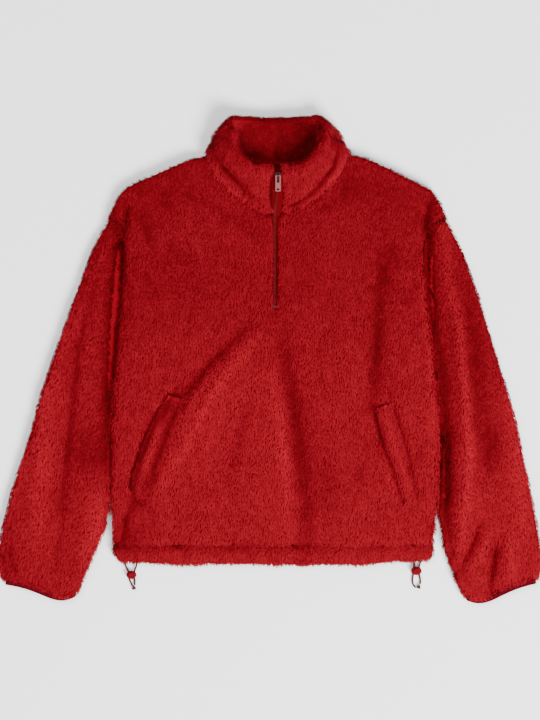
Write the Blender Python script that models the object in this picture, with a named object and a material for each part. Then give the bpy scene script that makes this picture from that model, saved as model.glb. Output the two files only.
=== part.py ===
"""A high-pile fleece half-zip pullover, laid flat on its back.

The floor is z = 0, +Y points from the hem to the collar and +X to the right of
someone who looks down on the front. Left and right mean those sides. Tables
and sizes are in millimetres, and the meshes are in metres.
"""
import math

import bmesh
import bpy
from mathutils import Vector

MM = 0.001
CENTRE_Y = -3.9             # middle of the garment, in the tables' y

# Cloth and seams
FLEECE = 8.0                # pile and ground together, one layer
SEAM_GAP = 0.5              # between two pieces that are sewn together
ARMHOLE_GAP = 0.7           # the same on the slanted armhole seam
UNDERARM_Y = -32.0
LAYER_GAP = 0.5             # between the back and the front that lies on it
WELT_SUNK = 1.6             # how deep a pocket's welt is set in the pile
WELT_RISE = 4.2
AIR_SHARE = 0.6             # part of a fold's height that is air, the rest being pile
MOST_AIR = 3.2              # two layers that lie on each other part no further
EDGE_ROUND = 13.0           # how far in from an edge the upper side curls down
UNDER_ROUND = 4.0           # the same on the lower side
EDGE_HEIGHT = 0.42          # height of an edge's outermost line, as a share
FRONT_LOFT = 3.0            # how far the front stands off the back all over
FRONT_SWELL = 2.0           # and how much more in the middle of the chest
LOFT_FADE = 60.0            # how far in from the sides it rises
FRONT_REST = FLEECE + LAYER_GAP

# Cuffs, hem and collar
CUFF_SKEW = 2.4             # puts the deepest point of a cuff near its inner side
BINDING_INSET = 5.0         # how much narrower the elastic is, at each side
HEM_SEAM_Y = -304.0
CASING_PUFF = 10.0          # fleece and cord channel together
HEM_GATHERS = 10
HEM_GATHER_HEIGHT = 0.9
ARMHOLE_HEIGHT = 17.5       # the two layers of a sleeve where it meets the body
ARMHOLE_RIM = 3.5           # how far the hollow's end stands back from the seam
CUFF_GATHER_HEIGHT = 1.2
CUFF_GATHER_REACH = 60.0    # how far up the sleeve the gathers run
CUFF_GATHERS = 3.5
CUFF_END_Y = -354.0
BINDING_STATIONS = ((0.9, 2.0), (4.2, 1.5), (7.4, 2.0))     # shift past the fleece, and lift
BINDING_HEIGHT = 11.0
BINDING_WALL = 2.4
BINDING_RIBS = 5
LOW_BOW = 0.7               # below 1 it puts the roll of the collar near its seam
COLLAR_STEPS = 2            # sections made for each row of the collar's table

SUNK = 0.3                  # how deep pieces that are joined reach into each other

# Zip
ZIP_TAPE = 1.2
ZIP_COIL = 2.2
COIL_WIDTH = 4.0
COIL_GAP = 0.3
PULL_PIVOT_X = 13.0
PULL_PIVOT_Y = 292.5
SLIDER_FOOT_Y = 278.0
PIVOT_OVER_TAPE = 5.6
WING_TOP = -1.3             # the slider's upper face, below the pull's pivot
WING_LOW = -2.8
LOWER_WING = (-8.8, -7.2)
BAIL_INNER = 1.5
BAIL_OUTER = 2.6
BAIL_HALF_WIDTH = 1.0
PULL_LENGTH = 26.4
PULL_END = 0.9              # how far the pull's crossbar reaches past the pivot
PULL_HALF_THICK = 0.65
STOP_BOX = ((4.2, 10.8), (80.2, 84.0), (15.4, 18.0))
SLIDER_TILT = math.radians(9.5)

# Hem cord and its fittings
CORD_DIAMETER = 3.0
TOGGLE_HEIGHT = 10.0
BORE = (1.2, 5.0)           # low and high side of the bore that both strands share
BORE_HALF_WIDTH = 6.6
WELL_FLOOR = 6.2            # bottom of the hole that the button moves in
BUTTON_DIAMETER = 8.5
BUTTON_PLAY = 0.3           # between the button and that hole, all round
BUTTON_RISE = 2.2           # how far the button stands out of the toggle, and its travel
BUTTON_SUNK = 1.2
KNOT_RADIUS = 3.6

RED_FLEECE = (0.32, 0.006, 0.007)
DARK_RED = (0.16, 0.004, 0.008)
NICKEL = (0.55, 0.50, 0.47)


# Tables, each a list of rows with its columns named above it

# x, y down the edge of the front, from the shoulder tip to the hem seam, with
# both sides measured at the same y
SIDE_LEFT = [(-263, 225), (-247, 221), (-236, 210), (-232.5, 190), (-232.5, 165), (-237, 87),
             (-249, -35), (-257.5, -140), (-258.5, -225), (-255, -304)]
SIDE_RIGHT = [(287, 225), (272, 221), (258, 210), (248.5, 190), (248, 165), (253.5, 87),
              (269, -35), (277, -140), (274, -225), (265, -304)]

# x, y along the shoulders
SHOULDER_LEFT = [(-263, 225), (-249, 255), (-238, 271), (-222, 281), (-133, 320), (-106, 326)]
SHOULDER_RIGHT = [(131, 330), (162, 320), (202, 301), (261, 271), (275, 250), (287, 225)]

# x, y along the neck seams between the shoulders
FRONT_NECK = [(-92, 299), (-70, 275), (-43, 255), (-11, 237), (3, 232), (18, 232), (44, 242),
              (81, 262), (106, 285), (121, 309)]
BACK_NECK = [(-80, 322), (-40, 316), (12, 313), (65, 316), (108, 324)]

# x, y round the lower corners and along the hem
CASING_LEFT = [(-255, -304), (-252, -317), (-241, -330)]
CASING_RIGHT = [(265, -304), (263, -317), (256, -328)]
HEM = [(-241, -330), (-214, -330), (-172, -333), (-141, -335), (-94, -333), (-57, -333), (32, -335),
       (113, -334), (139, -335), (165, -333), (206, -328), (232, -331), (243, -326), (256, -328)]

# route of x, y points, half width and height: a trough has a negative height
FRONT_FOLDS = [
    ([(-19, 69), (-81, 12), (-130, -53), (-154, -117), (-194, -198)], 14, -3.5),
    ([(-16, 53), (-73, -28), (-113, -93), (-120, -150)], 24, 5.0),
    ([(21, 28), (32, -53), (49, -117), (53, -182), (53, -304)], 15, -3.5),
    ([(100, -20), (95, -120), (110, -230), (105, -300)], 40, 3.5),
    ([(-10, -120), (-20, -210), (-5, -290)], 34, 3.0),
    ([(170, 109), (178, 12), (165, -61)], 17, -4.0),
    ([(215, 100), (225, 0), (222, -90)], 26, 3.0),
    ([(239, -134), (243, -182)], 18, -2.5),
    ([(-241, -231), (-238, -300)], 9, -2.5),
    ([(-96, 290), (-62, 252), (-30, 232)], 15, -3.0),
    ([(-194, 263), (-150, 220), (-113, 182)], 12, -2.0),
    ([(-170, 281), (-120, 236), (-70, 200)], 18, 2.5),
    ([(60, 200), (130, 160), (190, 150)], 34, 2.5),
    ([(-200, 120), (-150, 60), (-100, 80)], 36, 2.5),
]
SLEEVE_FOLDS = [
    ([(-332, -69), (-340, -231), (-345, -360)], 14, -3.5),
    ([(-324, -134), (-275, -190)], 20, -2.5),
    ([(-300, 80), (-345, -40), (-385, -170)], 26, 3.0),
    ([(-385, -250), (-395, -330)], 22, 3.0),
    ([(300, 12), (324, -117), (327, -182), (308, -328)], 24, 4.5),
    ([(338, -120), (344, -170)], 16, -3.0),
    ([(340, -231), (305, -344)], 10, -3.0),
    ([(360, -300), (361, -362)], 9, -3.5),
    ([(385, -200), (392, -290), (380, -350)], 22, 3.0),
]

# outer x, outer y, gap to the body, inner y, bow towards the cuff, height
SLEEVE_LEFT = [
    (-285, 181, 0.7, -60, -6, 18), (-306, 122, 0.7, -86, -4, 19), (-327, 64, 0.7, -113, 0, 19),
    (-348, 6, 0.7, -140, 0, 19), (-368, -53, 0.7, -182, 0, 20), (-384, -111, 0.8, -225, 0, 20),
    (-402, -169, 3, -248, 0, 20), (-420, -226, 10, -276, 0, 20), (-431, -270, 22, -303, 2, 21),
    (-438, -308, 33, -328, 5, 21), (-440, -337, 44, -353, 10, 21), (-434, -360, 53, -376, 15, 18),
]
SLEEVE_RIGHT = [
    (309, 177, 0.7, -60, -6, 18), (330, 119, 0.7, -86, -4, 19), (348, 61, 0.7, -113, 0, 19),
    (366, 2, 0.7, -140, 0, 19), (384, -56, 0.7, -182, 0, 20), (400, -114, 0.8, -225, 0, 20),
    (411, -169, 2, -252, 0, 20), (423, -226, 8, -276, 0, 20), (431, -270, 16, -303, 2, 21),
    (437, -308, 24, -330, 4, 21), (440, -336, 34, -358, 9, 21), (436, -358, 46, -383, 14.5, 18),
]

# seam x, y, z, then top edge x, y, z, then thickness and bulge, round the neck; the
# bulge is outward, and inward where it is negative, beside the zip
COLLAR = [
    (3, 241, 17.5, 3, 304, 42, 15, -7), (-12, 246, 17.5, -12, 306, 44, 15, -2),
    (-38, 262, 17.5, -28, 309, 45, 15, 4), (-62, 282, 17, -45, 320, 46, 15.5, 6),
    (-84, 304, 15, -56, 335, 47, 16, 7), (-95, 325, 12, -61, 351, 47, 16, 6),
    (-92, 338, 10.5, -63, 364, 44, 16, 4), (-82, 346, 9.5, -68, 376, 36, 16, 7),
    (-67, 339, 9, -60, 383, 28, 16, 7), (-45, 330, 8.6, -34, 383, 22, 16, 2),
    (-15, 323, 8.6, -9, 381, 18, 16, 0), (12, 321, 8.6, 12, 381, 17, 16, 0),
    (40, 323, 8.6, 33, 382, 18, 16, 0), (70, 330, 8.6, 59, 383, 22, 16, 2),
    (92, 339, 9, 80, 383, 28, 16, 7), (106, 346, 9.5, 90, 374.5, 36, 16, 6),
    (116, 338, 10.5, 88, 361, 44, 16, 2), (121, 328, 12, 86, 347, 47, 16, 5),
    (111, 306, 15, 80, 332, 47, 16, 7), (95, 288, 17, 69, 319, 46, 15.5, 6),
    (73, 268, 17.5, 54, 309, 45, 15, 4), (44, 252, 17.5, 37, 306, 44, 15, -2),
    (22, 243, 17.5, 22, 304, 42, 15, -7),
]

# x, y down the mouth and the sewn edge of each pocket's welt
WELT_LEFT = ([(-165, -59), (-188, -97), (-202, -126), (-215, -164), (-223, -193), (-226, -215)],
             [(-139, -67), (-149, -97), (-162, -135), (-179, -175), (-191, -198), (-198, -226)])
WELT_RIGHT = ([(196, -72), (209, -109), (218, -138), (227, -174), (234, -210), (238, -241)],
              [(170, -82), (179, -123), (189, -152), (201, -178), (212, -217), (219, -241)])

# y, z of the tape's upper side, then its left edge, left and right meeting edges, right edge
ZIP = [
    (79, 15, 3.7, 7.3, 7.7, 12.6), (140, 15, 3.7, 7.3, 7.7, 12.8), (200, 15.5, 3.7, 7.0, 7.4, 13.2),
    (228, 17.5, 3.8, 7.2, 7.6, 16.0), (239, 25, 3.9, 8.0, 8.4, 18.4), (250, 34, 4.0, 9.2, 9.6, 20),
    (266, 40, 4.0, 11.0, 11.4, 21), (278, 43, 4.0, 12.6, 13.2, 21), (292, 45.3, 4.0, 8.6, 17.4, 21),
    (302, 46.6, 4.0, 6.2, 19.2, 21), (309, 45, 4.0, 5.6, 19.6, 21),
]

# x, y round the slit that the zip is set in
SLIT = [(3.0, 78), (13.3, 78), (13.9, 200), (16.8, 228), (20, 245), (3.0, 245)]

# x, y, z along each free strand of the hem cord, from between the hem's layers to the knot
CORD_LEFT_A = [(-235.6, -329.6, 7.6), (-235.0, -334, 7.0), (-233.6, -339, 5.6), (-231.4, -344, 3.7),
               (-229.8, -349, 3.1), (-228.8, -355, 3.1), (-227.6, -361, 2.8), (-225.6, -366, 2.8),
               (-223.4, -370.4, 3.2)]
CORD_LEFT_B = [(-215.8, -329.6, 7.6), (-216.2, -334, 6.9), (-217.4, -339, 5.4), (-219.3, -344, 3.7),
               (-220.4, -349, 3.1), (-220.3, -355, 3.1), (-219.6, -361, 2.8), (-219.6, -366, 2.9),
               (-220.0, -369.6, 3.2)]
CORD_RIGHT_A = [(233.9, -329.6, 7.6), (234.0, -333, 6.2), (233.8, -337, 4.2), (233.4, -341, 3.2),
                (233.0, -347, 3.1), (232.3, -353, 3.0), (231.4, -359, 2.4), (231.6, -365, 2.2),
                (233.8, -370.6, 2.3), (237.0, -373.3, 3.0)]
CORD_RIGHT_B = [(245.6, -325.9, 7.6), (244.6, -330, 6.6), (243.3, -334.5, 4.4), (242.3, -339, 3.3),
                (241.9, -345, 3.1), (242.4, -352, 3.1), (243.8, -359, 2.4), (244.2, -364, 2.6),
                (243.3, -368.0, 3.2)]

# centre x, y and size x, y of each toggle, and centre x, y of each knot
TOGGLE_LEFT = (-225.0, -352.5, 16.7, 13.6)
TOGGLE_RIGHT = (237.5, -346.0, 17.4, 14.2)
KNOT_LEFT = (-221.0, -373.9)
KNOT_RIGHT = (241.3, -372.2)


def clear_scene():
    for item in list(bpy.data.objects):
        bpy.data.objects.remove(item, do_unlink=True)


def material(name, colour, roughness, metallic=0.0):
    made = bpy.data.materials.new(name)
    made.use_nodes = True
    shader = made.node_tree.nodes["Principled BSDF"]
    shader.inputs["Base Color"].default_value = (*colour, 1.0)
    shader.inputs["Roughness"].default_value = roughness
    shader.inputs["Metallic"].default_value = metallic
    return made


def add_object(name, mesh, finish):
    item = bpy.data.objects.new(name, mesh)
    bpy.context.scene.collection.objects.link(item)
    mesh.materials.append(finish)
    return item


def closed_mesh(name, points, faces):
    """A mesh from points in mm, with its faces turned outward."""
    mesh = bpy.data.meshes.new(name)
    work = bmesh.new()
    verts = [work.verts.new(Vector(point) * MM) for point in points]
    for face in faces:
        work.faces.new([verts[i] for i in face])
    bmesh.ops.recalc_face_normals(work, faces=work.faces)
    work.to_mesh(mesh)
    work.free()
    mesh.shade_smooth()
    mesh.set_sharp_from_angle(angle=math.radians(50))
    return mesh


def at(table, place, key=0, value=1):
    """Straight-line reading of one column of a table against another."""
    rows = sorted(table, key=lambda row: row[key])
    if place <= rows[0][key]:
        return rows[0][value]
    for low, high in zip(rows, rows[1:]):
        if place <= high[key]:
            part = (place - low[key]) / max(high[key] - low[key], 1e-9)
            return low[value] + (high[value] - low[value]) * part
    return rows[-1][value]


def smooth_rows(rows, steps):
    """Rows of a table with others between them on a Catmull-Rom curve."""
    made = []
    last = len(rows) - 1
    for i in range(last):
        p0, p1 = rows[max(i - 1, 0)], rows[i]
        p2, p3 = rows[i + 1], rows[min(i + 2, last)]
        for k in range(steps):
            t = k / steps
            made.append(tuple(
                0.5 * (2 * b + (c - a) * t + (2 * a - 5 * b + 4 * c - d) * t ** 2
                       + (3 * b - a - 3 * c + d) * t ** 3)
                for a, b, c, d in zip(p0, p1, p2, p3)))
    made.append(tuple(rows[last]))
    return made


def spaced(count, edge):
    """Places from 0 to 1, even in the middle and close together by both ends."""
    near = [0.0, 0.12 * edge, 0.42 * edge, edge]
    middle = [edge + (1 - 2 * edge) * i / count for i in range(1, count)]
    return near + middle + [1 - place for place in reversed(near)]


def curl(distance, reach):
    """0 at an edge, rising on a quarter circle to 1 at reach."""
    if distance >= reach:
        return 1.0
    return math.sqrt(max(0.0, 1 - (1 - max(distance, 0.0) / reach) ** 2))


def fold_height(x, y, folds):
    """Sum of the ridges and troughs at a place, each with soft sides and ends."""
    total = 0.0
    here = Vector((x, y))
    for route, half_width, height in folds:
        points = [Vector(point) for point in route]
        nearest, place = 1e9, 0.0
        for i in range(len(points) - 1):
            along = points[i + 1] - points[i]
            part = min(max((here - points[i]).dot(along) / along.length_squared, 0.0), 1.0)
            distance = (here - points[i] - along * part).length
            if distance < nearest:
                nearest, place = distance, (i + part) / (len(points) - 1)
        taper = math.sin(math.pi * (0.12 + 0.76 * place)) ** 0.7
        total += height * taper * math.exp(-(nearest / half_width) ** 2)
    return total


def front_lift(x, y):
    """How far the front stands off the back that it lies on."""
    edge = min(x - at(SIDE_LEFT, y, 1, 0), at(SIDE_RIGHT, y, 1, 0) - x)
    edge = min(edge, y - HEM_SEAM_Y + 20)
    swell = FRONT_SWELL * math.exp(-((x - 20) / 170) ** 2 - ((y - 60) / 220) ** 2)
    return max(0.0, FRONT_LOFT + swell + fold_height(x, y, FRONT_FOLDS)) * curl(edge, LOFT_FADE)


def front_under(x, y):
    return FRONT_REST + min(AIR_SHARE * front_lift(x, y), MOST_AIR)


def front_over(x, y):
    return FRONT_REST + FLEECE + front_lift(x, y)


def slab(name, plan, under, over, across, along, reach, finish):
    """A cloth piece with rounded edges between two heights over a plan.

    plan(u, v) gives x, y and the distances to the four edges. reach is how far
    in the upper side curls down at the left, right, lower and upper edge.
    """
    points, upper, lower, faces = [], {}, {}, []
    for i, u in enumerate(across):
        for j, v in enumerate(along):
            x, y, edges = plan(u, v)
            low, high = under(x, y), over(x, y)
            middle = low + EDGE_HEIGHT * min(high - low, FLEECE)
            top_curl, low_curl = 1.0, 1.0
            for distance, bend in zip(edges, reach):
                top_curl *= curl(distance, bend)
                low_curl *= curl(distance, min(bend, UNDER_ROUND))
            border = i in (0, len(across) - 1) or j in (0, len(along) - 1)
            upper[i, j] = len(points)
            if border:
                points.append((x, y, middle))
                lower[i, j] = upper[i, j]
                continue
            points.append((x, y, middle + (high - middle) * top_curl))
            lower[i, j] = len(points)
            points.append((x, y, middle - (middle - low) * low_curl))
    last_i, last_j = len(across) - 2, len(along) - 2
    for i in range(last_i + 1):
        for j in range(last_j + 1):
            ring = [(i, j), (i + 1, j), (i + 1, j + 1), (i, j + 1)]
            if (i, j) in ((0, last_j), (last_i, 0)):
                ring = ring[1:] + ring[:1]
            pieces = [ring]
            if i in (0, last_i) and j in (0, last_j):
                pieces = [ring[:3], [ring[0], ring[2], ring[3]]]
            for corners in pieces:
                faces.append([upper[corner] for corner in corners])
                faces.append([lower[corner] for corner in reversed(corners)])
    return add_object(name, closed_mesh(name, points, faces), finish)


def panel_plan(left, right, foot, head):
    """Plan of a panel between two side edges, a lower edge and an upper edge."""
    def fraction(x, y):
        x0, x1 = at(left, y, 1, 0), at(right, y, 1, 0)
        return (x - x0) / (x1 - x0)

    foot_rows = [(fraction(x, y), y) for x, y in foot]
    head_rows = [(fraction(x, y), y) for x, y in head]

    def plan(u, v):
        y0, y1 = at(foot_rows, u), at(head_rows, u)
        y = y0 + (y1 - y0) * v
        x0, x1 = at(left, y, 1, 0), at(right, y, 1, 0)
        x = x0 + (x1 - x0) * u
        return x, y, (x - x0, x1 - x, y - y0, y1 - y)
    return plan


def with_breaks(places, breaks, apart=0.010):
    """Places with the given ones added, and those too close to them left out."""
    kept = [p for p in places if all(abs(p - b) > apart for b in breaks) or p in (0.0, 1.0)]
    return sorted(set(kept + [b for b in breaks if 0.002 < b < 0.998]))


def side_breaks():
    """Places up a panel's side edges where both of them turn."""
    foot_y, head_y = HEM_SEAM_Y + SEAM_GAP, SIDE_LEFT[0][1]
    return [(y - foot_y) / (head_y - foot_y) for x, y in SIDE_LEFT[1:-1]]


def cut(item, cutter):
    """Boolean difference that keeps the solver's exact result."""
    step = item.modifiers.new("cut_" + cutter.name, 'BOOLEAN')
    step.operation = 'DIFFERENCE'
    step.solver = 'EXACT'
    step.object = cutter
    cutter.hide_render = True
    cutter.display_type = 'WIRE'


def make_front(finish):
    head = SHOULDER_LEFT + FRONT_NECK + SHOULDER_RIGHT
    foot = [(-255, HEM_SEAM_Y + SEAM_GAP), (265, HEM_SEAM_Y + SEAM_GAP)]
    plan = panel_plan(SIDE_LEFT, SIDE_RIGHT, foot, head)
    width = SIDE_RIGHT[0][0] - SIDE_LEFT[0][0]
    breaks = [(x - SIDE_LEFT[0][0]) / width for x, y in head]
    across = with_breaks(spaced(16, 0.024), breaks)
    along = with_breaks(spaced(18, 0.024), side_breaks())
    item = slab("front", plan, front_under, front_over, across, along,
                (EDGE_ROUND, EDGE_ROUND, 6, EDGE_ROUND), finish)
    cut(item, prism("slit", SLIT, 0.0, 60.0))
    return item


def make_back(finish):
    head = SHOULDER_LEFT + BACK_NECK + SHOULDER_RIGHT
    foot = [(-255, HEM_SEAM_Y + SEAM_GAP), (265, HEM_SEAM_Y + SEAM_GAP)]
    plan = panel_plan(SIDE_LEFT, SIDE_RIGHT, foot, head)
    width = SIDE_RIGHT[0][0] - SIDE_LEFT[0][0]
    breaks = [(x - SIDE_LEFT[0][0]) / width for x, y in head]
    return slab("back", plan, lambda x, y: 0.0, lambda x, y: FLEECE,
                with_breaks(spaced(6, 0.02), breaks, 0.03),
                with_breaks(spaced(3, 0.02), side_breaks()),
                (6, 6, 4, 6), finish)


def casing_over(x, y):
    """The front half of the casing, drawn into soft gathers by its elastic."""
    gather = math.sin(2 * math.pi * HEM_GATHERS * (x + 255) / 520 + 1.3 * math.sin(x / 60))
    return FRONT_REST + CASING_PUFF + HEM_GATHER_HEIGHT * gather


def make_casing(name, under, over, columns, finish):
    head = [(-255, HEM_SEAM_Y), (265, HEM_SEAM_Y)]
    plan = panel_plan(CASING_LEFT, CASING_RIGHT, HEM, head)
    return slab(name, plan, under, over, spaced(columns, 0.02), [0, 0.05, 0.2, 0.5, 0.8, 0.95, 1],
                (EDGE_ROUND, EDGE_ROUND, 9, 6), finish)


def make_welt(name, edges, finish, spare=0.0):
    """A padded band sunk a little in the front. spare makes room round it."""
    mouth, sewn = edges

    def plan(u, v):
        y0 = mouth[0][1] + (mouth[-1][1] - mouth[0][1]) * v
        y1 = sewn[0][1] + (sewn[-1][1] - sewn[0][1]) * v
        a = Vector((at(mouth, y0, 1, 0), y0))
        b = Vector((at(sewn, y1, 1, 0), y1))
        width = (b - a).length
        length = abs(mouth[0][1] - mouth[-1][1])
        grown = a.lerp(b, u + spare * (2 * u - 1) / width)
        stretch = spare * (1 - 2 * v)
        return grown.x, grown.y + stretch, (width * u, width * (1 - u), length * v, length * (1 - v))

    def under(x, y):
        return front_over(x, y) - WELT_SUNK - spare

    def over(x, y):
        return front_over(x, y) + WELT_RISE + spare

    return slab(name, plan, under, over,
                [0, 0.06, 0.22, 0.5, 0.78, 0.94, 1], spaced(14, 0.05), (7, 6, 7, 7), finish)


def tube(name, stations, finish):
    """A flattened tube of cloth from rings that hold an outer and an inner loop."""
    points, faces = [], []
    size = len(stations[0][0])
    for outer, inner in stations:
        points.extend(outer)
        points.extend(inner)
    for k in range(len(stations) - 1):
        here, after = 2 * size * k, 2 * size * (k + 1)
        for shift in (0, size):
            for i in range(size):
                j = (i + 1) % size
                ring = [here + shift + i, here + shift + j, after + shift + j, after + shift + i]
                faces.append(ring if shift == 0 else ring[::-1])
    for start, turn in ((0, 1), (2 * size * (len(stations) - 1), -1)):
        for i in range(size):
            j = (i + 1) % size
            ring = [start + j, start + i, start + size + i, start + size + j]
            faces.append(ring[::turn])
    return add_object(name, closed_mesh(name, points, faces), finish)


def flat_loops(plan, places, width, height, wall, rise, edge_reach, inner_plan=None):
    """Outer and inner loop of one ring. rise(x, y, t) adds folds to the top."""
    inner_plan = inner_plan or plan
    outer_top, outer_low, inner_top, inner_low = [], [], [], []
    middle = EDGE_HEIGHT * height
    for t in places:
        x, y = plan(t)
        distance = width * min(t, 1 - t)
        top = middle + (height + rise(x, y, t) - middle) * curl(distance, edge_reach)
        outer_top.append((x, y, top))
        outer_low.append((x, y, middle * (1 - curl(distance, UNDER_ROUND))))
        inset = wall / width
        s = inset + (1 - 2 * inset) * t
        x, y = inner_plan(s)
        distance = width * min(s, 1 - s)
        top = middle + (height + rise(x, y, s) - middle) * curl(distance, edge_reach)
        shut = curl(width * min(t, 1 - t), wall)
        inner_low.append((x, y, wall + 0.25 * (1 - shut)))
        hollow = min(max(AIR_SHARE * (top - 2 * wall), 0.2), MOST_AIR)
        inner_top.append((x, y, wall + 0.4 + hollow * shut))
    outer = outer_top + outer_low[-2:0:-1]
    inner = inner_top + inner_low[-2:0:-1]
    return outer, inner


def make_sleeve(name, rows, side, turn, finish):
    """turn is -1 on the left and 1 on the right."""
    top_y = side[0][1] - 1.0
    places = with_breaks(spaced(5, 0.11), [(y - top_y) / (UNDERARM_Y - top_y) for x, y in side], 0.04)
    stations = []

    def armhole(t, gap=ARMHOLE_GAP):
        y = top_y + (UNDERARM_Y - top_y) * t
        return at(side, y, 1, 0) + gap * turn, y - gap

    def armhole_inside(t):
        return armhole(t, ARMHOLE_GAP + ARMHOLE_RIM)

    def rise(x, y, t):
        return fold_height(x, y, SLEEVE_FOLDS)

    stations.append(flat_loops(armhole, places, top_y - UNDERARM_Y, ARMHOLE_HEIGHT, FLEECE, rise,
                               EDGE_ROUND, armhole_inside))
    for row in rows:
        outer_x, outer_y, gap, inner_y, bow, height = row
        start = Vector((outer_x, outer_y))
        end = Vector((at(side, inner_y, 1, 0) + gap * turn, inner_y))
        chord = end - start
        sideways = Vector((chord.y, -chord.x)).normalized() * -turn

        def ring(t, start=start, chord=chord, sideways=sideways, bow=bow):
            here = start + chord * t + sideways * bow * math.sin(math.pi * t ** CUFF_SKEW)
            return here.x, here.y

        near_cuff = 1 - (outer_y - CUFF_END_Y) / CUFF_GATHER_REACH
        gather = CUFF_GATHER_HEIGHT * min(max(near_cuff, 0.0), 1.0)

        def gathered(x, y, t, gather=gather):
            return rise(x, y, t) + gather * math.sin(2 * math.pi * CUFF_GATHERS * t + 1.0)

        stations.append(flat_loops(ring, places, chord.length, height, FLEECE, gathered, EDGE_ROUND + 3))
    return tube(name, stations, finish)


def make_binding(name, rows, side, turn, finish):
    """The narrow elastic band that the sleeve is gathered into."""
    outer_x, outer_y, gap, inner_y, bow, height = rows[-1]
    start = Vector((outer_x, outer_y))
    chord = Vector((at(side, inner_y, 1, 0) + gap * turn, inner_y)) - start
    sideways = Vector((chord.y, -chord.x)).normalized() * -turn
    inset = BINDING_INSET / chord.length
    width = chord.length - 2 * BINDING_INSET
    stations = []

    def rise(x, y, t):
        return 0.6 * math.sin(2 * math.pi * BINDING_RIBS * t)

    for shift, lift in BINDING_STATIONS:
        def ring(t, shift=shift):
            s = inset + (1 - 2 * inset) * t
            here = start + chord * s + sideways * (bow * math.sin(math.pi * s ** CUFF_SKEW) + shift)
            return here.x, here.y

        outer, inner = flat_loops(ring, spaced(10, 0.05), width, BINDING_HEIGHT, BINDING_WALL, rise, 6)
        stations.append(([(x, y, z + lift) for x, y, z in outer],
                         [(x, y, z + lift) for x, y, z in inner]))
    return tube(name, stations, finish)


def collar_sections(spare):
    """Rounded sections of the band, thicker by spare on each side."""
    rows = smooth_rows(COLLAR, COLLAR_STEPS)
    middles = [Vector(((r[0] + r[3]) / 2, (r[1] + r[4]) / 2, (r[2] + r[5]) / 2)) for r in rows]
    sections = []
    for k, row in enumerate(rows):
        seam, top = Vector(row[0:3]), Vector(row[3:6])
        half, bulge = row[6] / 2 + spare, row[7]
        forward = middles[min(k + 1, len(rows) - 1)] - middles[max(k - 1, 0)]
        if k in (0, len(rows) - 1):
            forward = Vector((-1, 0, 0))
        rise = top - seam
        inward = forward.cross(rise).normalized()
        length = rise.normalized()
        spine = []
        for i in range(5):
            s = i / 4
            spine.append(seam + rise * s - inward * bulge * math.sin(math.pi * s ** LOW_BOW))
        loop = [point + inward * half for point in spine]
        for angle in (50, 0, -50):
            turn = math.radians(angle)
            loop.append(spine[-1] + inward * half * math.sin(turn) + length * half * math.cos(turn))
        loop += [point - inward * half for point in reversed(spine)]
        for angle in (-50, 0, 50):
            turn = math.radians(angle)
            loop.append(spine[0] + inward * half * math.sin(turn) - length * half * math.cos(turn))
        sections.append([(p.x, p.y, max(p.z, 0.0)) for p in loop])
    return sections


def make_collar(name, finish, spare=0.0):
    sections = collar_sections(spare)
    size = len(sections[0])
    points = [point for loop in sections for point in loop]
    faces = []
    for k in range(len(sections) - 1):
        for i in range(size):
            j = (i + 1) % size
            faces.append([size * k + i, size * k + j, size * (k + 1) + j, size * (k + 1) + i])
    faces.append(list(range(size))[::-1])
    faces.append([size * (len(sections) - 1) + i for i in range(size)])
    return add_object(name, closed_mesh(name, points, faces), finish)


def prism(name, outline, low, high, finish=None):
    """An outline of x, y points raised from low to high."""
    count = len(outline)
    points = [(x, y, low) for x, y in outline] + [(x, y, high) for x, y in outline]
    faces = [list(range(count)), list(range(count, 2 * count))]
    for i in range(count):
        j = (i + 1) % count
        faces.append([i, j, count + j, count + i])
    return add_object(name, closed_mesh(name, points, faces), finish or CUTTER)


def strip(name, rows, low, high, finish):
    """A band along the zip's path. rows hold y, z, left x and right x."""
    points, faces = [], []
    for k, (y, z, left, right) in enumerate(rows):
        before, after = rows[max(k - 1, 0)], rows[min(k + 1, len(rows) - 1)]
        way = Vector((0, after[0] - before[0], after[1] - before[1])).normalized()
        up = Vector((0, -way.z, way.y))
        for x, offset in ((left, low), (right, low), (right, high), (left, high)):
            points.append(Vector((x, y, z)) + up * offset)
    for k in range(len(rows) - 1):
        for i in range(4):
            j = (i + 1) % 4
            faces.append([4 * k + i, 4 * k + j, 4 * k + 4 + j, 4 * k + 4 + i])
    faces.append([3, 2, 1, 0])
    faces.append([4 * len(rows) - 4 + i for i in range(4)])
    return add_object(name, closed_mesh(name, points, faces), finish)


def make_zip_bands(tape, coil):
    strip("zip_tape_left", [(r[0], r[1], r[2], r[3]) for r in ZIP], -ZIP_TAPE, 0.0, tape)
    strip("zip_tape_right", [(r[0], r[1], r[4], r[5]) for r in ZIP], -ZIP_TAPE, 0.0, tape)
    closed = [r for r in ZIP if STOP_BOX[1][1] < r[0] <= SLIDER_FOOT_Y]
    foot = (STOP_BOX[1][1] + SEAM_GAP,) + ZIP[0][1:]
    half = COIL_WIDTH / 2
    chain = [(r[0], r[1], (r[3] + r[4]) / 2 - half, (r[3] + r[4]) / 2 + half) for r in [foot] + closed]
    strip("zip_coil", chain, COIL_GAP, COIL_GAP + ZIP_COIL, coil)


def put_on_zip(item):
    """Turn and move a slider piece from its own frame, whose origin is the pivot."""
    item.rotation_euler = (SLIDER_TILT, 0.0, 0.0)
    tape_z = at(ZIP, PULL_PIVOT_Y)
    item.location = Vector((PULL_PIVOT_X, PULL_PIVOT_Y, tape_z + PIVOT_OVER_TAPE)) * MM


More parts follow.
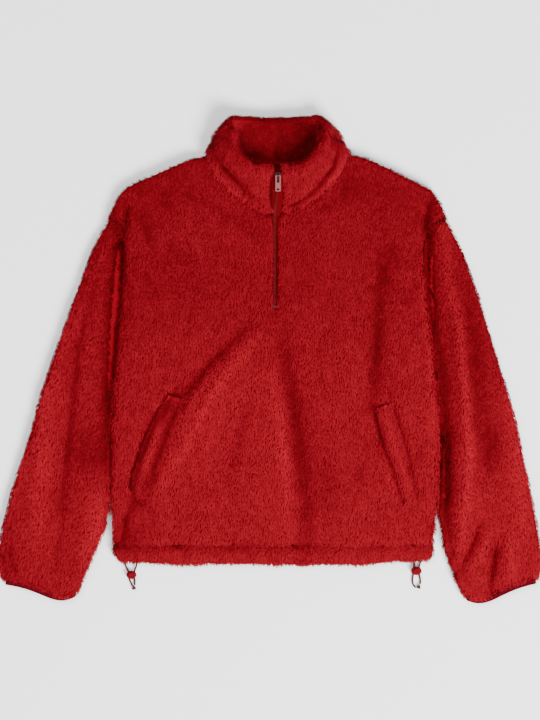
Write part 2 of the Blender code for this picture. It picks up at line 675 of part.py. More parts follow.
def rounded_bar(half_width, y_low, y_high, radius):
    """Outline of a bar with four round corners."""
    outline = []
    for cx, cy, first in ((half_width - radius, y_high - radius, 0),
                          (-half_width + radius, y_high - radius, 90),
                          (-half_width + radius, y_low + radius, 180),
                          (half_width - radius, y_low + radius, 270)):
        for step in range(4):
            angle = math.radians(first + 30 * step)
            outline.append((cx + radius * math.cos(angle), cy + radius * math.sin(angle)))
    return outline


def join(item, others):
    for other in others:
        step = item.modifiers.new("join_" + other.name, 'BOOLEAN')
        step.operation = 'UNION'
        step.solver = 'EXACT'
        step.object = other
        other.hide_render = True
        other.display_type = 'WIRE'


def make_slider(finish):
    wing = [(4.7, 3.4), (3.2, 4.6), (-3.2, 4.6), (-4.7, 3.4), (-4.7, -3.0), (-3.3, -9.0), (3.3, -9.0),
            (4.7, -3.0)]
    item = prism("zip_slider", wing, WING_LOW, WING_TOP, finish)
    lower = prism("slider_lower_wing", [(x * 0.9, y) for x, y in wing], *LOWER_WING)
    post = prism("slider_post", [(1.3, 4.0), (-1.3, 4.0), (-1.0, 0.6), (1.0, 0.6)],
                 LOWER_WING[1] - SUNK, WING_LOW + SUNK)
    bail = make_bail()
    join(item, [lower, post, bail])
    for piece in (item, lower, post, bail):
        put_on_zip(piece)
    return item


def make_bail():
    """An arch over the pull's crossbar, with both feet sunk in the upper wing."""
    inner, outer, half, foot = BAIL_INNER, BAIL_OUTER, BAIL_HALF_WIDTH, WING_TOP - SUNK
    profile = [(outer, foot)]
    profile += [(outer * math.cos(math.radians(a)), outer * math.sin(math.radians(a)))
                for a in range(0, 181, 30)]
    profile += [(-outer, foot), (-inner, foot)]
    profile += [(inner * math.cos(math.radians(a)), inner * math.sin(math.radians(a)))
                for a in range(180, -1, -30)]
    profile += [(inner, foot)]
    count = len(profile)
    points = [(-half, y, z) for y, z in profile] + [(half, y, z) for y, z in profile]
    faces = [list(range(count)), list(range(count, 2 * count))]
    for i in range(count):
        j = (i + 1) % count
        faces.append([i, j, count + j, count + i])
    return add_object("slider_bail", closed_mesh("slider_bail", points, faces), CUTTER)


def make_pull(finish):
    item = prism("zip_pull", rounded_bar(4.5, PULL_END - PULL_LENGTH, PULL_END, 1.4),
                 -PULL_HALF_THICK, PULL_HALF_THICK, finish)
    eye = prism("pull_eye", rounded_bar(2.25, -11.1, -0.8, 1.2), -2, 2)
    slot = prism("pull_slot", rounded_bar(2.0, -23.4, -20.4, 0.5), -2, 2)
    cut(item, eye)
    cut(item, slot)
    for piece in (item, eye, slot):
        put_on_zip(piece)
    return item


def make_stop(finish):
    (x0, x1), (y0, y1), (low, high) = STOP_BOX
    return prism("zip_stop", [(x0, y0), (x1, y0), (x1, y1), (x0, y1)], low, high, finish)


def turned(name, profile, centre, size, finish, sides=20):
    """A solid turned about Z from radius factor and z, stretched to size x, y."""
    points, faces = [], []
    for radius, z in profile:
        for k in range(sides):
            angle = 2 * math.pi * k / sides
            points.append((centre[0] + size[0] / 2 * radius * math.cos(angle),
                           centre[1] + size[1] / 2 * radius * math.sin(angle), z))
    for level in range(len(profile) - 1):
        for k in range(sides):
            j = (k + 1) % sides
            faces.append([sides * level + k, sides * level + j,
                          sides * (level + 1) + j, sides * (level + 1) + k])
    faces.append(list(range(sides))[::-1])
    faces.append([sides * (len(profile) - 1) + k for k in range(sides)])
    return add_object(name, closed_mesh(name, points, faces), finish)


def make_toggle(side, place, finish):
    x, y, size_x, size_y = place
    top = TOGGLE_HEIGHT
    body = turned("toggle_" + side, [(0.86, 0.0), (0.97, 1.2), (1.0, 3.0), (1.0, top - 2.4),
                                     (0.93, top - 0.7), (0.84, top)], (x, y), (size_x, size_y), finish)
    x0, x1, y0, y1 = x - BORE_HALF_WIDTH, x + BORE_HALF_WIDTH, y - size_y, y + size_y
    bore = prism("bore_" + side, [(x0, y0), (x1, y0), (x1, y1), (x0, y1)], *BORE)
    well_size = BUTTON_DIAMETER + 2 * BUTTON_PLAY
    well = turned("well_" + side, [(1, WELL_FLOOR), (1, top + 3)], (x, y), (well_size, well_size), CUTTER)
    cut(body, bore)
    cut(body, well)
    button_top = top + BUTTON_RISE
    turned("toggle_button_" + side, [(1, top - BUTTON_SUNK), (1, button_top - 0.6), (0.86, button_top)],
           (x, y), (BUTTON_DIAMETER, BUTTON_DIAMETER), finish)


def make_knot(side, place, finish):
    profile = [(0.30, -0.95), (0.72, -0.70), (0.96, -0.30), (1.0, 0.05), (0.92, 0.42), (0.66, 0.78),
               (0.28, 0.97)]
    centre_z = KNOT_RADIUS * 0.95
    rings = [(radius, centre_z + KNOT_RADIUS * z) for radius, z in profile]
    turned("knot_" + side, rings, place, (2 * KNOT_RADIUS, 2 * KNOT_RADIUS), finish, sides=12)


def make_cord(name, route, finish):
    """A free strand as a round tube on a smooth curve through its route."""
    curve = bpy.data.curves.new(name, 'CURVE')
    curve.dimensions = '3D'
    curve.bevel_depth = CORD_DIAMETER / 2 * MM
    curve.bevel_resolution = 2
    curve.use_fill_caps = True
    line = curve.splines.new('POLY')
    points = smooth_rows(route, 2)
    line.points.add(len(points) - 1)
    for target, point in zip(line.points, points):
        target.co = (*(Vector(point) * MM), 1.0)
    return add_object(name, curve, finish)


def build():
    fleece = material("red_pile_fleece", RED_FLEECE, 0.9)
    elastic = material("dark_red_elastic", DARK_RED, 0.7)
    tape = material("red_zip_tape", DARK_RED, 0.8)
    coil = material("red_nylon_coil", DARK_RED, 0.45)
    metal = material("nickel_plate", NICKEL, 0.3, 1.0)
    plastic = material("red_moulded_plastic", (0.28, 0.01, 0.015), 0.4)
    cord = material("dark_red_braid", DARK_RED, 0.75)

    front = make_front(fleece)
    back = make_back(fleece)
    neck_room = make_collar("neck_room", CUTTER, 0.5)
    make_collar("collar", fleece)
    cut(front, neck_room)
    cut(back, neck_room)
    for side, edges in (("left", WELT_LEFT), ("right", WELT_RIGHT)):
        make_welt("pocket_welt_" + side, edges, fleece)
        cut(front, make_welt("welt_room_" + side, edges, CUTTER, 0.5))

    make_casing("hem_casing_front", lambda x, y: FRONT_REST, casing_over, 36, fleece)
    make_casing("hem_casing_back", lambda x, y: 0.0, lambda x, y: FLEECE, 10, fleece)
    for side, rows, edge, turn in (("left", SLEEVE_LEFT, SIDE_LEFT, -1),
                                   ("right", SLEEVE_RIGHT, SIDE_RIGHT, 1)):
        make_sleeve("sleeve_" + side, rows, edge, turn, fleece)
        make_binding("cuff_binding_" + side, rows, edge, turn, elastic)

    make_zip_bands(tape, coil)
    make_slider(metal)
    make_pull(metal)
    make_stop(metal)
    for side, toggle, knot in (("left", TOGGLE_LEFT, KNOT_LEFT), ("right", TOGGLE_RIGHT, KNOT_RIGHT)):
        make_toggle(side, toggle, plastic)
        make_knot(side, knot, cord)
    for name, route in (("hem_cord_left_a", CORD_LEFT_A), ("hem_cord_left_b", CORD_LEFT_B),
                        ("hem_cord_right_a", CORD_RIGHT_A), ("hem_cord_right_b", CORD_RIGHT_B)):
        make_cord(name, route, cord)


def centre():
    """Put the origin under the middle of the laid garment."""
    for item in bpy.data.objects:
        item.location.y -= CENTRE_Y * MM


clear_scene()
CUTTER = material("cutter", (0.5, 0.5, 0.5), 0.5)
build()
centre()
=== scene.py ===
# %% [markdown]
# # A high-pile fleece half-zip pullover, laid flat
#
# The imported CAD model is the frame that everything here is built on. The CAD
# cloth is as thick as the pile reaches. A real garment of this kind is a thin
# knitted ground that carries long brushed polyester pile, so each panel is
# made again here as a thin ground that lies a pile's depth inside the CAD
# shape, and tufts then grow from it back out to that shape.

# %% Load the frame
import math

import bmesh
import bpy
import numpy as np
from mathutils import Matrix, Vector
from mathutils.bvhtree import BVHTree


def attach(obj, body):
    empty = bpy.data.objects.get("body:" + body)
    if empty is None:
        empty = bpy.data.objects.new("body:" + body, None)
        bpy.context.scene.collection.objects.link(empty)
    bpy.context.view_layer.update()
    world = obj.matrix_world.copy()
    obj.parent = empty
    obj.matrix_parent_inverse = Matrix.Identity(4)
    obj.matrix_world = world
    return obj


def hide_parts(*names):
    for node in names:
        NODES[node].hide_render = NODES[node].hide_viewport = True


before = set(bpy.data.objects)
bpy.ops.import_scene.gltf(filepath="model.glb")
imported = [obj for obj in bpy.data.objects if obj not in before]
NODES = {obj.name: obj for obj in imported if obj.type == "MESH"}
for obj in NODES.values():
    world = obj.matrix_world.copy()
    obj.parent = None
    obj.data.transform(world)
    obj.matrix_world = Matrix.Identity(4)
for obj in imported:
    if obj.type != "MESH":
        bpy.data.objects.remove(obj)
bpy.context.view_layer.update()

MM = 0.001
print("loaded", len(NODES), "CAD nodes")

# %% [markdown]
# ## Camera
#
# The garment is photographed from straight above. A long lens from five
# metres keeps the sleeves and the raised collar free of perspective. The
# picture is 720 pixels high and 1.62 mm of cloth fits in a pixel.

# %% Camera over the laid garment
MM_PER_PIXEL = 1.62
VIEW_HEIGHT = 720 * MM_PER_PIXEL * MM
CAMERA_DISTANCE = 5.0
CLOTH_Z = 0.015

lens_data = bpy.data.cameras.new("overhead_camera")
lens_data.sensor_fit = 'VERTICAL'
lens_data.sensor_height = 36.0
lens_data.lens = 36.0 * CAMERA_DISTANCE / VIEW_HEIGHT
camera = bpy.data.objects.new("overhead_camera", lens_data)
camera.location = (0.0, 0.0, CLOTH_Z + CAMERA_DISTANCE)
bpy.context.scene.collection.objects.link(camera)
bpy.context.scene.camera = camera
print("view height", round(VIEW_HEIGHT, 4), "m")

# %% [markdown]
# ## Small tools
#
# A few functions that every step shares: colours, nodes, meshes from arrays,
# and smooth noise that comes out the same on each run.

# %% Colour and node helpers
def linear(hex_colour):
    """An sRGB colour like #a01216 as the linear numbers that the shader takes."""
    made = []
    for i in (1, 3, 5):
        value = int(hex_colour[i:i + 2], 16) / 255
        made.append(value / 12.92 if value <= 0.04045 else ((value + 0.055) / 1.055) ** 2.4)
    return (*made, 1.0)


def add_node(tree, kind, links=None, values=None, **settings):
    """One node, with its settings, its plain values and what is plugged into it."""
    node = tree.nodes.new(kind)
    for key, value in settings.items():
        setattr(node, key, value)
    for socket, value in (values or {}).items():
        node.inputs[socket].default_value = value
    for socket, source in (links or {}).items():
        tree.links.new(source, node.inputs[socket])
    return node


def new_material(name, colour, roughness, **values):
    """A Principled material. values are the shader's own sockets, with _ for a space."""
    made = bpy.data.materials.new(name)
    made.use_nodes = True
    shader = made.node_tree.nodes["Principled BSDF"]
    shader.inputs["Base Color"].default_value = linear(colour)
    shader.inputs["Roughness"].default_value = roughness
    for key, value in values.items():
        shader.inputs[key.replace("_", " ")].default_value = value
    return made, shader


def texture(shader, kind, values, **settings):
    """The grey values of a Noise or Wave texture that is fixed to the object."""
    tree = shader.id_data
    spot = add_node(tree, "ShaderNodeTexCoord").outputs["Object"]
    return add_node(tree, "ShaderNodeTex" + kind, {"Vector": spot}, values, **settings).outputs["Fac"]


def ramp(tree, source, stops):
    """A colour ramp from (place, hex colour) stops."""
    node = add_node(tree, "ShaderNodeValToRGB", {"Fac": source})
    elements = node.color_ramp.elements
    while len(elements) < len(stops):
        elements.new(0.5)
    for element, (place, colour) in zip(elements, stops):
        element.position = place
        element.color = linear(colour)
    return node.outputs["Color"]


def colour_by(shader, source, stops):
    """The base colour follows grey values along a ramp."""
    tree = shader.id_data
    tree.links.new(ramp(tree, source, stops), shader.inputs["Base Color"])


def roughness_by(shader, source, low, high):
    tree = shader.id_data
    spread = add_node(tree, "ShaderNodeMapRange", {"Value": source}, {"To Min": low, "To Max": high})
    tree.links.new(spread.outputs["Result"], shader.inputs["Roughness"])


def bump_by(shader, source, strength, height):
    """Fine relief from grey values, height mm high."""
    tree = shader.id_data
    bump = add_node(tree, "ShaderNodeBump", {"Height": source},
                    {"Strength": strength, "Distance": height * MM})
    tree.links.new(bump.outputs["Normal"], shader.inputs["Normal"])


# %% Noise and array helpers
def smoothstep(value, low, high):
    part = np.clip((value - low) / (high - low), 0, 1)
    return part * part * (3 - 2 * part)


def hashed(cells, salt=0):
    """A number from 0 to 1 for each row of whole numbers, the same each run."""
    mixed = cells @ np.array([12.9898, 78.233, 37.719]) + 17.17 * salt
    return np.modf(np.abs(np.sin(mixed)) * 43758.5453)[0]


def noise(points, size, salt=0):
    """Smooth noise from -1 to 1 whose blotches are about as large as size."""
    scaled = points / size
    corner = np.floor(scaled)
    part = scaled - corner
    part = part * part * (3 - 2 * part)
    total = np.zeros(len(points))
    for step in np.ndindex(2, 2, 2):
        weight = np.prod(np.where(np.array(step) == 1, part, 1 - part), axis=1)
        total += weight * hashed(corner + step, salt)
    return 2 * total - 1


def unit(vectors):
    return vectors / np.maximum(np.linalg.norm(vectors, axis=1, keepdims=True), 1e-9)


def dot(a, b):
    return (a * b).sum(axis=1, keepdims=True)


def read(items, key, kind=np.int32, width=1):
    """One value of all items, width numbers of it in a row."""
    values = np.empty(width * len(items), kind)
    items.foreach_get(key, values)
    return values if width == 1 else values.reshape(-1, width)


def vertex_arrays(mesh):
    """The places and smooth normals of a mesh's vertices."""
    points = read(mesh.vertices, "co", np.float32, 3)
    normals = read(mesh.vertex_normals, "vector", np.float32, 3)
    return points.astype(float), normals.astype(float)


def add_mesh(name, points, corners, sizes, finish, body="garment"):
    """A joined mesh from arrays. sizes holds the number of corners of each face."""
    mesh = bpy.data.meshes.new(name)
    mesh.vertices.add(len(points))
    mesh.vertices.foreach_set("co", np.asarray(points, np.float32).ravel())
    mesh.loops.add(len(corners))
    mesh.loops.foreach_set("vertex_index", np.asarray(corners, np.int32))
    mesh.polygons.add(len(sizes))
    starts = np.concatenate(([0], np.cumsum(sizes)[:-1]))
    mesh.polygons.foreach_set("loop_start", starts.astype(np.int32))
    mesh.update(calc_edges=True)
    mesh.shade_smooth()
    mesh.materials.append(finish)
    item = bpy.data.objects.new(name, mesh)
    bpy.context.scene.collection.objects.link(item)
    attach(item, body)
    return item


def tube_arrays(path, radius, sides, up=(0, 0, 1), caps=True):
    """Points and quads of a tube. radius is a number, or a grid of one row per path point."""
    path = np.asarray(path, float)
    way = unit(np.gradient(path, axis=0))
    side = unit(np.cross(way, np.asarray(up, float)))
    over = np.cross(side, way)
    turn = 2 * np.pi * np.arange(sides) / sides
    radius = np.broadcast_to(radius, (len(path), sides))
    round_it = (side[:, None, :] * np.cos(turn)[None, :, None]
                + over[:, None, :] * np.sin(turn)[None, :, None])
    rings = path[:, None, :] + radius[:, :, None] * round_it
    points = rings.reshape(-1, 3)
    k, i = np.meshgrid(np.arange(len(path) - 1), np.arange(sides), indexing="ij")
    k, i = k.ravel(), i.ravel()
    j = (i + 1) % sides
    quads = np.stack((k * sides + i, (k + 1) * sides + i, (k + 1) * sides + j, k * sides + j), axis=1)
    corners, sizes = quads.ravel(), np.full(len(quads), 4)
    if caps:
        first = np.arange(sides)
        last = (len(path) - 1) * sides + np.arange(sides)[::-1]
        corners = np.concatenate((corners, first, last))
        sizes = np.concatenate((sizes, [sides, sides]))
    return points, corners, sizes


def joined(parts):
    """Several (points, corners, sizes) as one."""
    shift, points, corners, sizes = 0, [], [], []
    for some, ring, size in parts:
        points.append(some)
        corners.append(ring + shift)
        sizes.append(size)
        shift += len(some)
    return np.concatenate(points), np.concatenate(corners), np.concatenate(sizes)


def smooth_path(rows, steps):
    """A Catmull-Rom curve through the rows of a table."""
    rows = np.asarray(rows, float)
    padded = np.vstack((rows[:1], rows, rows[-1:]))
    t = np.linspace(0, 1, steps, endpoint=False)[:, None]
    made = []
    for p0, p1, p2, p3 in zip(padded, padded[1:], padded[2:], padded[3:]):
        made.append(0.5 * (2 * p1 + (p2 - p0) * t + (2 * p0 - 5 * p1 + 4 * p2 - p3) * t ** 2
                           + (3 * p1 - p0 - 3 * p2 + p3) * t ** 3))
    made.append(rows[-1:])
    return np.vstack(made)


# %% [markdown]
# ## The hem's drawcord
#
# One thin braided cord runs round inside the hem. At each side a loop of it
# comes out as two strands, passes through a cord lock and ends in a knot.
# A braid of this size has eight carriers, which show as small slanted lumps,
# so each strand is a tube whose radius follows two crossing spirals.

# %% Cord strands
CORD_RADIUS = 1.5
CORD_SIDES = 24
BRAID_PITCH = 7.0       # mm in which a carrier goes once round
BRAID_RELIEF = 0.045    # height of a carrier's lumps, as a share of the radius
CENTRE_SHIFT = 3.9      # from the CAD source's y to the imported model's

# x, y, z in mm from between the hem's layers to the knot
CORD_ROUTES = {
    "hem_cord_left_a": [
        (-235.6, -329.6, 7.6), (-235.0, -334, 7.0), (-233.6, -339, 5.6), (-231.4, -344, 3.7),
        (-229.8, -349, 3.1), (-228.8, -355, 3.1), (-227.6, -361, 2.8), (-225.6, -366, 2.8),
        (-223.4, -370.4, 3.2)],
    "hem_cord_left_b": [
        (-215.8, -329.6, 7.6), (-216.2, -334, 6.9), (-217.4, -339, 5.4), (-219.3, -344, 3.7),
        (-220.4, -349, 3.1), (-220.3, -355, 3.1), (-219.6, -361, 2.8), (-219.6, -366, 2.9),
        (-220.0, -369.6, 3.2)],
    "hem_cord_right_a": [
        (233.9, -329.6, 7.6), (234.0, -333, 6.2), (233.8, -337, 4.2), (233.4, -341, 3.2),
        (233.0, -347, 3.1), (232.3, -353, 3.0), (231.4, -359, 2.4), (231.6, -365, 2.2),
        (233.8, -370.6, 2.3), (237.0, -373.3, 3.0)],
    "hem_cord_right_b": [
        (245.6, -325.9, 7.6), (244.6, -330, 6.6), (243.3, -334.5, 4.4), (242.3, -339, 3.3),
        (241.9, -345, 3.1), (242.4, -352, 3.1), (243.8, -359, 2.4), (244.2, -364, 2.6),
        (243.3, -368.0, 3.2)],
}

# Drawcord: round polyester braid, piece-dyed. The carriers give a fine
# zigzag of light and dark, and the yarn is dull with a slight silk.
cord_finish, shader = new_material("braided_polyester_cord", "#6a0c14", 0.72, Specular_IOR_Level=0.25)
yarn = texture(shader, "Noise", {"Scale": 2600.0, "Detail": 2.0})
colour_by(shader, yarn, [(0.3, "#30050a"), (0.7, "#4c0a12")])
bump_by(shader, yarn, 0.35, 0.2)


def braid_radius(path, radius, sides):
    """Radius of a braid at each ring and side: carriers cross in two directions."""
    step = np.linalg.norm(np.diff(path, axis=0), axis=1)
    along = np.concatenate(([0], np.cumsum(step)))[:, None]
    turn = (2 * np.pi * np.arange(sides) / sides)[None, :]
    wave = 2 * np.pi * along / (BRAID_PITCH * MM)
    over = np.cos(4 * (turn + wave)) * np.cos(4 * (turn - wave))
    return radius * (1 - BRAID_RELIEF + BRAID_RELIEF * over)


cords = {}
for name, route in CORD_ROUTES.items():
    path = smooth_path(route, 16)
    path[:, 1] += CENTRE_SHIFT
    path = path * MM
    radii = braid_radius(path, CORD_RADIUS * MM, CORD_SIDES)
    points, corners, sizes = tube_arrays(path, radii, CORD_SIDES)
    strand = add_mesh("braided_" + name, points, corners, sizes, cord_finish)
    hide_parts(name)
    cords[name] = (strand, path)
    print(name, round(1000 * np.linalg.norm(np.diff(path, axis=0), axis=1).sum(), 1), "mm")

# %% [markdown]
# ## Knots
#
# Both strands of a loop are tied in one overhand knot. A trefoil is the shape
# of that knot, pressed to the small ball that the CAD keeps room for.

# %% Knots at the ends of the cord
KNOT_SIZE = 0.78        # unit of the trefoil, whose line is five and a half of them wide
KNOT_STRETCH = 1.35     # height against width
KNOT_RADIUS = 1.4       # the cord is pulled a little thinner in a knot
KNOT_SIDES = 16
KNOT_Z = 3.4

# x, y in mm and the turn about Z that points two lobes at the strands' ends
KNOTS = {"left": (-221.0, -373.9, -0.87), "right": (241.3, -372.2, 0.70)}


def knot_path(centre, size, turn):
    """A closed trefoil line."""
    t = np.linspace(0, 2 * np.pi, 97)
    x = np.sin(t) + 2 * np.sin(2 * t)
    y = np.cos(t) - 2 * np.cos(2 * t)
    z = -np.sin(3 * t)
    c, s = math.cos(turn), math.sin(turn)
    return np.stack((centre[0] + size * (c * x - s * y), centre[1] + size * (s * x + c * y),
                     centre[2] + KNOT_STRETCH * size * z), axis=1)


for side, (x, y, turn) in KNOTS.items():
    path = knot_path((x * MM, (y + CENTRE_SHIFT) * MM, KNOT_Z * MM), KNOT_SIZE * MM, turn)
    radii = braid_radius(path, KNOT_RADIUS * MM, KNOT_SIDES)
    points, corners, sizes = tube_arrays(path, radii, KNOT_SIDES, caps=False)
    knot = add_mesh("tied_knot_" + side, points, corners, sizes, cord_finish)
    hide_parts("knot_" + side)

# %% [markdown]
# ## Cord locks
#
# A small round barrel of moulded plastic with a spring button on top. The
# strands go in at one side and out at the other, through one bore. It is a
# turned profile with soft edges, and the bore and the button's well are cut.

# %% Cord locks and their buttons
# Moulded acetal: coloured through, satin from the mould's fine texture, so
# highlights are broad and edges catch a thin line of light.
plastic, shader = new_material("moulded_red_acetal", "#600a11", 0.62, Specular_IOR_Level=0.16,
                               Specular_Tint=linear("#e04048"))
grain = texture(shader, "Noise", {"Scale": 3500.0, "Detail": 3.0})
cloud = texture(shader, "Noise", {"Scale": 220.0, "Detail": 2.0})
colour_by(shader, cloud, [(0.3, "#560810"), (0.7, "#660c15")])
roughness_by(shader, grain, 0.55, 0.70)
bump_by(shader, grain, 0.15, 0.1)


def turned(name, profile, centre, size, finish, body="garment"):
    """A closed solid turned about Z from (radius share, z) rows. size is its width in x and y."""
    sides = 48
    turn = 2 * np.pi * np.arange(sides) / sides
    rings = [np.stack((centre[0] + size[0] / 2 * r * np.cos(turn),
                       centre[1] + size[1] / 2 * r * np.sin(turn), np.full(sides, z)), axis=1)
             for r, z in profile]
    points = np.concatenate(rings) * MM
    corners = []
    for k in range(len(profile) - 1):
        for i in range(sides):
            j = (i + 1) % sides
            corners += [k * sides + i, k * sides + j, (k + 1) * sides + j, (k + 1) * sides + i]
    sizes = [4] * (len(corners) // 4)
    corners += list(range(sides))[::-1] + [(len(profile) - 1) * sides + i for i in range(sides)]
    return add_mesh(name, points, corners, sizes + [sides, sides], finish, body)


def cut_and_apply(item, cutters):
    """Cut the cutters out of a mesh and keep the result."""
    for cutter in cutters:
        step = item.modifiers.new("cut", 'BOOLEAN')
        step.operation, step.solver, step.object = 'DIFFERENCE', 'EXACT', cutter
    apply_modifiers(item)
    for cutter in cutters:
        bpy.data.objects.remove(cutter, do_unlink=True)


def apply_modifiers(item):
    bpy.context.view_layer.update()
    shaped = item.evaluated_get(bpy.context.evaluated_depsgraph_get())
    item.data = bpy.data.meshes.new_from_object(shaped)
    item.modifiers.clear()


# Rows of radius share and z in mm, from the floor up
BARREL = [(0.80, 0.05), (0.88, 0.25), (0.94, 0.8), (0.98, 2.0), (1.0, 4.0), (1.0, 6.6), (0.99, 7.8),
          (0.965, 8.8), (0.92, 9.5), (0.86, 9.9), (0.78, 10.0)]
BUTTON = [(1.0, 8.8), (1.0, 11.2), (0.985, 11.7), (0.94, 12.0), (0.86, 12.15), (0.62, 12.0), (0.3, 11.9)]
BUTTON_WIDTH = 8.5
WELL = [(1, 6.2), (1, 13)]
WELL_WIDTH = 9.3
BORE_SIDES = 24
BORE_Z = 3.1
BORE_HALF = (6.6, 1.95)     # across and up

# x, y of the middle and the widths in x and y, in mm
LOCKS = {"left": (-225.0, -352.5, 16.7, 13.6), "right": (237.5, -346.0, 17.4, 14.2)}

for side, (x, y, size_x, size_y) in LOCKS.items():
    y += CENTRE_SHIFT
    lock = turned("cord_lock_" + side, BARREL, (x, y), (size_x, size_y), plastic)
    well = turned("well", WELL, (x, y), (WELL_WIDTH, WELL_WIDTH), plastic)
    bore_y = np.linspace(y - size_y, y + size_y, 3)
    bore_path = np.stack((np.full(3, x), bore_y, np.full(3, BORE_Z)), axis=1) * MM
    bore_points, corners, sizes = tube_arrays(bore_path, 1.0, BORE_SIDES)
    scales = np.array((BORE_HALF[0] * MM, 1.0, BORE_HALF[1] * MM))
    bore_points = bore_path[1] + (bore_points - bore_path[1]) * scales
    bore_points[:, 1] = np.repeat(bore_y * MM, BORE_SIDES)
    bore = add_mesh("bore", bore_points, corners, sizes, plastic)
    cut_and_apply(lock, [well, bore])
    lock.data.set_sharp_from_angle(angle=math.radians(35))
    button = turned("cord_lock_button_" + side, BUTTON, (x, y), (BUTTON_WIDTH, BUTTON_WIDTH), plastic,
                    "button_" + side)
    button.data.set_sharp_from_angle(angle=math.radians(50))
    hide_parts("toggle_" + side)
    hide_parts("toggle_button_" + side)

for name, (strand, path) in cords.items():
    side = "left" if "left" in name else "right"

# %% [markdown]
# ## The knitted ground
#
# Each panel starts from a copy of its CAD solid. It is welded, turned back to
# quads, rounded by subdivision or by a voxel remesh where the CAD was cut,
# and moved in by the depth of the pile wherever the pile stands, so that the
# folds that the CAD has in steps become soft rolls. Sharper creases, which
# the CAD is too coarse to hold, are added from tables.

# %% Folds and creases
# Each row is a route of x, y points, then half width and height, all in mm. A
# trough's height is negative.
BODY_CREASES = [
    ([(-230, 254), (-232, 236), (-236, 190)], 6, -5.0),
    ([(263, 272), (255, 238), (250, 190)], 7, -5.0),
    ([(-6, 74), (-32, 57), (-62, 32), (-102, -8), (-141, -54), (-164, -105), (-186, -170),
      (-208, -222)], 10, -3.4),
    ([(-15, 68), (-60, 22), (-100, -22), (-134, -80), (-150, -125), (-180, -180)], 7, 2.6),
    ([(-11, 61), (-39, 21), (-68, -13), (-104, -65), (-136, -130), (-173, -195), (-194, -227)], 10, 3.4),
    ([(21, 65), (24, 0), (36, -65), (49, -146), (57, -227), (55, -340)], 15, -4.5),
    ([(6, 32), (10, -65), (20, -146), (28, -227), (28, -292)], 10, 3.0),
    ([(78, -97), (90, -195), (92, -292)], 16, -1.4),
    ([(-28, -49), (-52, -130), (-73, -211)], 7, -2.2),
    ([(-60, -40), (-95, -110), (-125, -180)], 6, 1.6),
    ([(177, 150), (173, 65), (172, 16), (168, -29), (166, -75)], 12, -4.6),
    ([(194, 200), (183, 113)], 15, -3.0),
    ([(-211, 240), (-199, 207), (-191, 181)], 8, -2.6),
    ([(-146, 254), (-125, 207), (-105, 149)], 4, 1.8),
    ([(-120, 121), (-131, 65), (-139, 24)], 5, -1.2),
    ([(-224, -230), (-238, -262), (-247, -305)], 8, -4.5),
    ([(-200, -258), (-228, -282), (-236, -320)], 20, -2.6),
    ([(-222, -222), (-212, -229), (-202, -233)], 4, -4.5),
    ([(180, -140), (192, -185), (208, -232)], 6, 3.0),
    ([(186, -84), (207, -150), (229, -220)], 3, 3.0),
    ([(-211, -232), (-194, -246), (-185, -276)], 8, -1.5),
    ([(146, -162), (149, -195)], 14, -1.5),
    ([(240, -130), (237, -178)], 9, -1.5),
    ([(240, 215), (250, 97), (259, 0), (264, -114), (264, -227)], 6, 2.2),
    ([(-105, 264), (-68, 238), (-29, 214), (-6, 202)], 8, -1.8),
    ([(133, 308), (122, 275), (84, 246), (49, 223)], 8, -1.8),
    ([(-150, -40), (-159, -58), (-186, -105), (-209, -157), (-222, -206), (-226, -235)], 6, -5.5),
    ([(-138, -45), (-146, -65), (-170, -130), (-194, -195), (-205, -235)], 4, -2.0),
    ([(160, -60), (167, -80), (182, -130), (200, -190), (214, -232)], 5.5, -4.5),
    ([(192, -50), (199, -65), (218, -130), (232, -195), (240, -230)], 4, -3.5),
]
HEM_CREASES = [
    ([(-330, -300), (90, -300)], 4, -3.0),
    ([(0, -300), (330, -300)], 4, -1.5),
]
SLEEVE_CREASES = [
    ([(-238, 250), (-245, 167), (-254, 60), (-261, -49), (-265, -157), (-262, -260)], 15, -5.5),
    ([(256, 250), (257, 125), (264, 60), (277, -21), (288, -130), (291, -183), (286, -238),
      (292, -292), (309, -350)], 11, -4.6),
    ([(266, 272), (258, 225), (258, 180), (262, 110), (268, 40)], 8, -5.0),
    ([(-280, 146), (-303, 60), (-316, -28), (-327, -130), (-335, -211), (-343, -336)], 7, -3.6),
    ([(-298, -100), (-301, -188)], 23, -3.2),
    ([(-232, 240), (-238, 190), (-243, 140), (-250, 70)], 7, -5.0),
    ([(-270, -180), (-282, -255), (-300, -335)], 17, 4.6),
    ([(-353, -40), (-372, -178), (-380, -308)], 17, 2.8),
    ([(-424, -296), (-418, -325), (-410, -350)], 4, -4.5),
    ([(-436, -300), (-428, -342)], 3, -3.5),
    ([(284, 222), (288, 141), (305, 60), (313, -33), (321, -157), (316, -227), (303, -324)], 8, 4.8),
    ([(311, 141), (329, 60), (343, -102), (352, -154)], 13, -1.0),
    ([(357, -95), (353, -185)], 16, -3.0),
    ([(343, -255), (329, -292), (308, -340)], 6, -4.8),
    ([(358, -271), (340, -311), (322, -348)], 5, 2.0),
    ([(368, -288), (363, -327), (355, -373)], 7, -7.0),
    ([(392, -259), (386, -357)], 8, 2.0),
    ([(376, 0), (394, -100), (404, -200), (408, -285)], 16, 2.6),
    ([(416, -292), (421, -357)], 4, -1.5),
]
